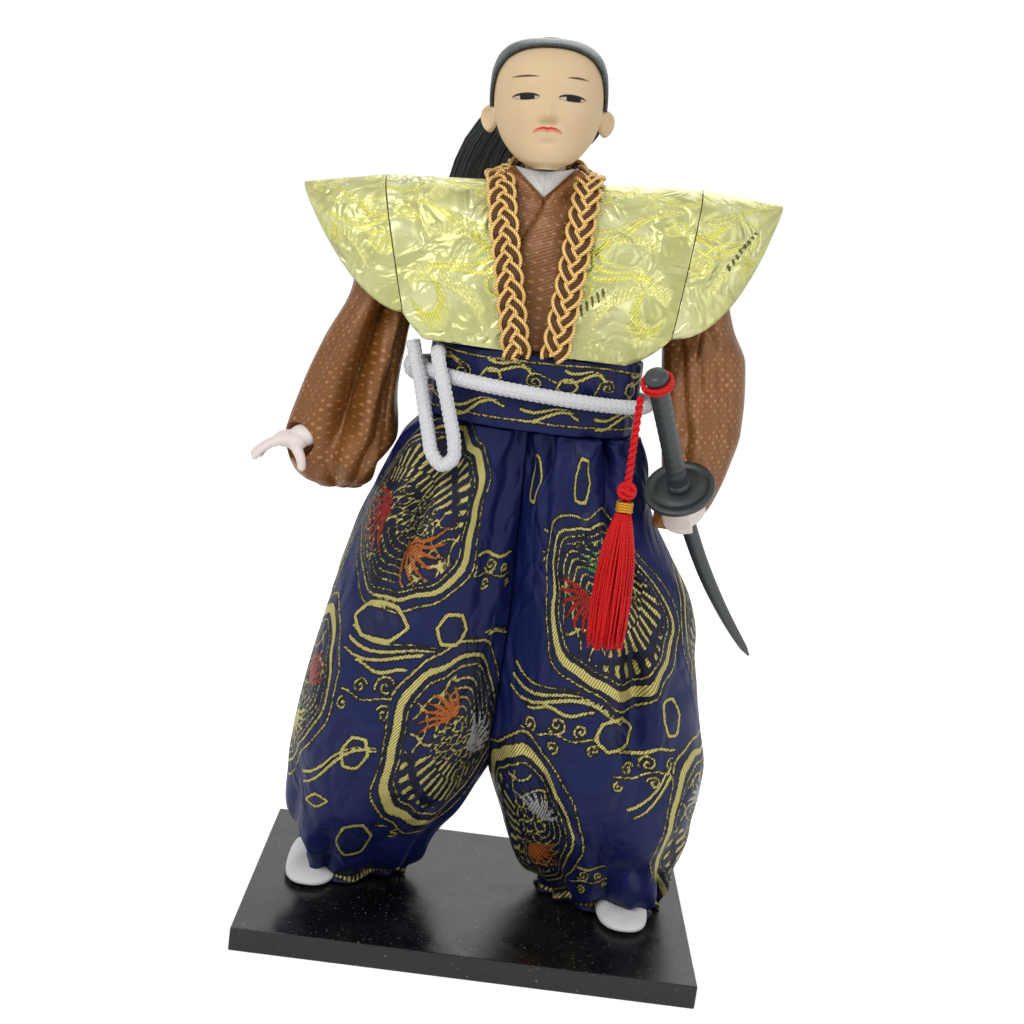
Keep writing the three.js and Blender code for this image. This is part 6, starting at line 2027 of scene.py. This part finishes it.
class DOLL_OT_head(bpy.types.Operator):
    """Model and paint the head, with its ears and neck"""

    bl_idname = "doll.head"
    bl_label = "Head"

    def execute(self, context):
        def place(u, v):
            return lean(head_place(u, v))

        head = laid_grid("moulded_head", place, 300, 290, "painted_face", (100, 60))
        paint_face(head.data, upright(read_points(head.data) / MM))
        settle(head, "head", "face_skin", "head")
        for name, side in SIDES:
            ear = laid_grid(f"ear_{name}", self.ear_place(side), 60, 40, "plain_skin", (20, 20))
            settle(ear, "head", "face_skin", "head")
        neck_line = smooth_path(lean([(0, 0, 59.0), (0, 0, 66), (0, 0, 74), (0, 0, 84)]), 20)
        neck = laid_tubes("neck", [neck_line], NECK_RADIUS, "plain_skin", 40)
        settle(neck, "head", "face_skin", "head")
        return {"FINISHED"}

    def ear_place(self, side):
        """An ear: a cupped oval shell with a raised rim, turned out from the head."""

        def place(u, v):
            turn, out = u * TURN, np.sin(v * math.pi)
            face = np.cos(v * math.pi)
            rim = 0.7 * np.exp(-(((out - 0.8) / 0.16) ** 2)) * (face > 0)
            hollow = 0.8 * np.exp(-((out / 0.55) ** 2)) * (face > 0)
            reach = EAR["half_width"] * out * np.cos(turn) * (1 + 0.35 * np.sin(turn))
            thick = EAR["half_thickness"] * face + rim - hollow
            x, y, z = EAR["middle"]
            height = EAR["half_height"] * out * np.sin(turn) * (1 + 0.12 * np.sin(turn))
            across, along = x + 0.66 * reach + 0.75 * thick, y + 0.75 * reach - 0.66 * thick
            return lean(xyz(side * across, along, z + height))

        return place


# The hairline: where it crosses the forehead's middle, as a share of the head's height, and its slant.
HAIRLINE_SHARE, HAIRLINE_SLANT = 0.935, math.atan2(12, 20.6)
# The cap's lower edge behind, as a share of the head's height.
NAPE_SHARE = 0.2
# Ahead of and below this place, at the top of the ear, there is no hair.
EAR_TOP = np.array([0, 3.5, 93.5])
HAIR_TIE = {"turns": 3, "ring": 3.6, "pitch": 0.9, "cord": 0.7}
# The ponytail's line from where it leaves the tie, and its half width and half thickness along its length.
TAIL_LINE = [(-12.5, 29.5, 91.0), (-18, 31.2, 80.8), (-22, 31.6, 69), (-26, 31, 50), (-28, 30, 30),
             (-28.5, 29, 12)]
TAIL_WIDTH = through([[0, 3.3], [0.06, 3.1], [0.18, 7], [0.4, 10], [0.7, 9], [1, 3.5]])
TAIL_THICKNESS = through([[0, 3.3], [0.06, 3], [0.2, 3], [0.7, 2.55], [1, 1.05]])
# The ponytail is led past a place this far behind the hair cap, at this share of the head's height.
TAIL_PAST, TAIL_SHARE = 7.2, 0.66
HAIR_STRAND = 0.22


class DOLL_OT_hair(bpy.types.Operator):
    """Make the hair cap, its tie and the long ponytail"""

    bl_idname = "doll.hair"
    bl_label = "Hair"

    def execute(self, context):
        self.cap()
        self.tie()
        self.tail(sizes_of(context).hairs)
        return {"FINISHED"}

    def cap(self):
        """A close cap from the hairline back, which goes behind the ears."""

        def place(u, v):
            share = np.clip(0.5 * v + 0.25 * (1 - np.cos(v * math.pi)), 0, 1)
            return lean(head_ring(u, share, HAIR_THICKNESS + SEAT_GAP))

        cap = laid_grid("hair_cap_strands", place, 200, 160, "cap_hair", (110, 60))
        top = (0, -float(HEAD_FRONT(HAIRLINE_SHARE)) - 0.2, CHIN_Z + HAIRLINE_SHARE * HEAD_HEIGHT)
        toward_face = (0, -math.cos(HAIRLINE_SLANT), -math.sin(HAIRLINE_SLANT))
        nape = (0, 0, CHIN_Z + NAPE_SHARE * HEAD_HEIGHT)
        bm = bmesh.new()
        bm.from_mesh(cap.data)
        for spot, way, clear in ((top, toward_face, True), (nape, (0, 0, -1), True),
                                 (EAR_TOP, (0, 1, 0), False), (EAR_TOP, (0, 0, 1), False)):
            cut(bm, lean(spot) * MM, UPPER_TURN @ np.array(way, float), clear)
        middles = upright(np.array([face.calc_center_median() for face in bm.faces]) / MM)
        ahead = (middles[:, 1] < EAR_TOP[1]) & (middles[:, 2] < EAR_TOP[2])
        gone = [face for face, here in zip(bm.faces, ahead) if here]
        bmesh.ops.delete(bm, geom=gone, context="FACES")
        bm.to_mesh(cap.data)
        bm.free()
        thicken(cap, HAIR_THICKNESS, -1)
        settle(cap, "head", "black_hair", "hair_cap")

    def tie(self):
        """Turns of black cord where the ponytail leaves the head."""
        middle = np.mean(np.array(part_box("hair_tie")) / MM, axis=0)
        x, z, _ = ring(HAIR_TIE["ring"], 32)
        turns = [middle + xyz(x, (k - 1) * HAIR_TIE["pitch"], z) for k in range(HAIR_TIE["turns"])]
        tie = laid_tubes("hair_tie_turns", turns, HAIR_TIE["cord"], "tail_hair", 8)
        settle(tie, "head", "black_hair", "hair_tie")

    def tail(self, count):
        """A smooth lock with single strands over it."""
        beyond_tie = float(HEAD_BACK(TAIL_SHARE)) + HAIR_THICKNESS + SEAT_GAP + TAIL_PAST
        # The lock starts inside the cap and passes through the tie.
        tied = upright(np.mean(np.array(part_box("hair_tie")) / MM, axis=0))
        spine = smooth_path([tied - [0, 6, 0], tied, (-6.5, beyond_tie, 100.3), *TAIL_LINE], 60)
        share = np.linspace(0, 1, 61)
        wide, thick = TAIL_WIDTH(share), TAIL_THICKNESS(share)
        along = unit(np.gradient(spine, axis=0))
        side = unit(np.cross(np.cross(np.array([1, 0.25, 0]), along), along))
        up = np.cross(side, along)

        def relief(u, run):
            return -0.06 + 0.05 * np.sin(u * TURN * 23 + run * 0.05)

        core = laid_tubes("ponytail_lock", [lean(spine)], ([wide * 0.93], [thick * 0.9]), "tail_hair", 70,
                          sideways=[side @ UPPER_TURN.T], relief=relief)
        rng = np.random.default_rng(SEED + 3)
        paths = []
        for _ in range(count):
            turn = rng.uniform(0, TURN)
            loose = 1.0 + max(0, rng.normal(-0.02, 0.035))
            turn = turn + 0.12 * np.sin(share * rng.uniform(2, 6) + rng.uniform(0, TURN))
            reach = loose * (1 + 0.04 * share * rng.uniform(-1, 1))
            across, out = np.cos(turn) * wide * reach, np.sin(turn) * thick * reach
            paths.append(lean(spine + across[:, None] * side + out[:, None] * up)[::4])
        strands = laid_tubes("ponytail_strands", paths, HAIR_STRAND, "tail_hair", 4)
        for piece in (core, strands):
            settle(piece, "head", "black_hair", "ponytail")


# The open hand in the upper body's frame: lines with the radii along them, and round lumps with their radii.
WRIST = ([(-67, -5, -10.5), (-71, -6.5, -12.3), (-75, -8, -14.2)], [3.4, 3.6, 3.8])
THUMB = ([(-75.6, -11.4, -16.6), (-73.6, -13, -20.4), (-73.2, -13.2, -24.4)], [1.9, 1.6, 1.3])
PALM = [((-78.4, -8.4, -14.6), (5, 5.2, 2.9)), ((-73.5, -7.6, -13.4), (5, 4.4, 3.6)),
        ((-75.6, -10.2, -15.2), (3.6, 3.4, 3))]
FINGER_RADII = [1.5, 1.4, 1.25, 1.1]
# The fist's radii, its thumb, whose heights are from the fist's middle, and one finger's curl round the grip,
# all in the sword's own frame. The four fingers are set one above the other.
FIST_RADII = (6.6, 6.1, 5.8)
FIST_THUMB = ([(3.4, -3.0, 4.4), (0.6, -5.2, 5.0), (-2.6, -5.2, 4.6)], [1.7, 1.6, 1.35])
FIST_FINGER = ([(2.0, -5.6), (-1.8, -5.4), (-4.8, -3.6), (-5.9, -0.6), (-4.6, 2.2)],
               [1.45, 1.4, 1.35, 1.25, 1.15])
FIST_WRIST_RADII = [3.4, 3.7, 3.9]


class DOLL_OT_hands(bpy.types.Operator):
    """Model the open right hand and the left fist"""

    bl_idname = "doll.hands"
    bl_label = "Hands"

    def execute(self, context):
        self.open_hand()
        self.fist()
        return {"FINISHED"}

    def open_hand(self):
        """The right hand: wrist, four bent fingers, thumb and palm, moulded into one."""
        parts = [limb_part(lean(WRIST[0]), WRIST[1])]
        for i in range(4):
            y, drop = -12.2 + 2.7 * i, abs(i - 1.2) * 0.9
            spots = [(-79, y * 0.97, -14.2 - drop * 0.2), (-83, y, -15.2 - drop * 0.5),
                     (-86.6, y - 0.4, -16.9 - drop), (-90.4 + drop, y - 0.6, -20.2 - drop)]
            parts.append(limb_part(lean(spots), FINGER_RADII))
        parts.append(limb_part(lean(THUMB[0]), THUMB[1]))
        parts.extend(ball_part(lean(spot), radii, UPPER.to_3x3()) for spot, radii in PALM)
        settle(moulded_from(parts, "open_hand"), "right_arm", "hand_skin", "hand_right")

    def fist(self):
        """The left hand, closed round the sword below its guard."""
        middle = np.array(FIST_MIDDLE) @ sword_axes().T + GUARD_MIDDLE
        start, end = lean([(54.5, -10, -14), middle + [1.6, 3, 2.2]])
        parts = [limb_part([start, (start + end) / 2, end], FIST_WRIST_RADII)]
        turn = UPPER.to_3x3() @ Matrix(sword_axes().tolist())
        parts.append(ball_part(sword_points(FIST_MIDDLE), FIST_RADII, turn))
        for i in range(4):
            curl = [(x, y, -FIST_DOWN + (i - 1.5) * 2.5) for x, y in FIST_FINGER[0]]
            parts.append(limb_part(sword_points(curl), FIST_FINGER[1]))
        thumb = [(x, y, z - FIST_DOWN) for x, y, z in FIST_THUMB[0]]
        parts.append(limb_part(sword_points(thumb), FIST_THUMB[1]))
        settle(moulded_from(parts, "left_fist"), "left_arm", "hand_skin", "hand_left")


# Outlines turned about the sword's axis, as radius and height. The pommel's heights are from its top.
GUARD_OUTLINE = [(0.01, -1), (10.4, -1), (11.1, -0.75), (11.25, 0), (11.1, 0.75), (10.5, 1), (9.4, 1),
                 (8.9, 0.6), (7.6, 0.6), (7.1, 0.95), (4.6, 0.95), (0.01, 0.95)]
POMMEL_OUTLINE = [(0.01, -3.2), (3.4, -3.2), (3.6, -2.7), (3.58, -1.4), (3.2, -0.6), (2.2, -0.1), (0.01, 0)]
SCABBARD_NARROWING = through([[0, 1], [0.45, 0.93], [0.8, 0.72], [0.95, 0.5], [1, 0.2]])
# The scabbard and the grip start this far from the guard's middle.
GUARD_FACE = 1.3


class DOLL_OT_sword(bpy.types.Operator):
    """Make the sword: curved scabbard, round guard, ribbed grip and pommel"""

    bl_idname = "doll.sword"
    bl_label = "Sword"

    def execute(self, context):
        self.scabbard()
        pommel = [(r, GRIP_LENGTH + z) for r, z in POMMEL_OUTLINE]
        for name, outline, steps, node in (
            ("guard_disc", GUARD_OUTLINE, 72, "sword_guard"),
            ("grip_wrapped", self.grip_outline(), 40, "sword_grip"),
            ("pommel_cap", pommel, 40, "sword_pommel"),
        ):
            settle(self.turned(name, outline, steps), "sword", "grey_plastic", node)
        return {"FINISHED"}

    def grip_outline(self):
        """The grip's outline, all but smooth, a little thinner in its middle."""
        start, end = 3, GRIP_LENGTH - 3.5
        outline = [(0.01, GUARD_FACE), (3.65, GUARD_FACE), (3.65, 2.9), (3.2, 3.3)]
        for z in np.arange(start + 0.6, end - 0.3, 0.4):
            waist = 1 - 0.06 * math.sin((z - start) / (end - start) * math.pi)
            outline.append((GRIP_RADIUS * waist * (1 + 0.012 * math.sin(z * TURN / 3.1)), z))
        return outline + [(3.2, end), (0.01, end)]

    def turned(self, name, outline, steps):
        """A shape turned about the sword's axis."""
        bm = bmesh.new()
        verts = [bm.verts.new((r, 0, z)) for r, z in outline]
        edges = [bm.edges.new(pair) for pair in zip(verts[:-1], verts[1:])]
        bmesh.ops.spin(bm, geom=verts + edges, cent=(0, 0, 0), axis=(0, 0, 1), angle=TURN, steps=steps,
                       use_merge=True)
        ends = [[v for v in bm.verts if abs(v.co.z - z) < 1e-6 and math.hypot(v.co.x, v.co.y) < 0.02]
                for z in (outline[0][1], outline[-1][1])]
        for end in ends:
            bmesh.ops.pointmerge(bm, verts=end, merge_co=(0, 0, end[0].co.z))
        mesh = mesh_of(bm, name)
        write_points(mesh, sword_points(read_points(mesh)) * MM)
        weld(mesh)
        piece = new_object(name, mesh, "sword_plastic")
        mesh.set_sharp_from_angle(angle=math.radians(50))
        return piece

    def scabbard(self):
        """A flattened bar on an arc, narrowing to a rounded end."""
        run = np.linspace(GUARD_FACE, SCABBARD["length"], 90)
        angle = run / SCABBARD["radius"]
        line = xyz(SCABBARD["radius"] * (1 - np.cos(angle)), 0, -SCABBARD["radius"] * np.sin(angle))
        outward = xyz(np.cos(angle), 0, np.sin(angle))
        narrow = SCABBARD_NARROWING(run / SCABBARD["length"])
        side = outward @ sword_axes().T @ UPPER_TURN.T
        size = [SCABBARD["width"] / 2 * narrow], [SCABBARD["thickness"] / 2 * narrow]
        piece = laid_tubes("scabbard_curve", [sword_points(line)], size, "sword_plastic", 32, sideways=[side])
        settle(piece, "sword", "grey_plastic", "scabbard")


INNER_FINISHES = {
    "wire_steel": ("leg_wire_right", "leg_wire_left", "shoulder_wire", "arm_wire_right", "arm_wire_left"),
    "dowel_pine": ("neck_dowel",),
}


class DOLL_OT_inner_parts(bpy.types.Operator):
    """Finish the wires and the dowel inside the doll"""

    bl_idname = "doll.inner_parts"
    bl_label = "Wires and dowel"

    def execute(self, context):
        for material, nodes in INNER_FINISHES.items():
            for node in nodes:
                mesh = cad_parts[node].data
                mesh.materials.clear()
                mesh.materials.append(bpy.data.materials[material])
        return {"FINISHED"}


OPERATORS = (
    DOLL_OT_stage, DOLL_OT_cords, DOLL_OT_tassel, DOLL_OT_board, DOLL_OT_feet, DOLL_OT_hakama, DOLL_OT_waist,
    DOLL_OT_kimono, DOLL_OT_sleeves, DOLL_OT_vest, DOLL_OT_braid, DOLL_OT_head, DOLL_OT_hair, DOLL_OT_hands,
    DOLL_OT_sword, DOLL_OT_inner_parts,
)


class DOLL_PT_panel(bpy.types.Panel):
    """Lists the doll's colours, sizes and pieces"""

    bl_idname = "DOLL_PT_panel"
    bl_label = "Samurai doll"
    bl_space_type = "VIEW_3D"
    bl_region_type = "UI"
    bl_category = "Doll"

    def draw(self, context):
        layout = self.layout
        for group in (colours_of(context), sizes_of(context)):
            box = layout.box()
            for name in group.__annotations__:
                box.prop(group, name)
        for operator in OPERATORS:
            layout.operator(operator.bl_idname)


CLASSES = (DollColours, DollSizes, *OPERATORS, DOLL_PT_panel)


def register():
    for item in CLASSES:
        bpy.utils.register_class(item)
    bpy.types.Scene.doll_colours = PointerProperty(type=DollColours)
    bpy.types.Scene.doll_sizes = PointerProperty(type=DollSizes)


def unregister():
    del bpy.types.Scene.doll_sizes
    del bpy.types.Scene.doll_colours
    for item in reversed(CLASSES):
        bpy.utils.unregister_class(item)


def main():
    register()
    for operator in OPERATORS:
        group, name = operator.bl_idname.split(".")
        getattr(getattr(bpy.ops, group), name)()


if __name__ == "__main__":
    main()
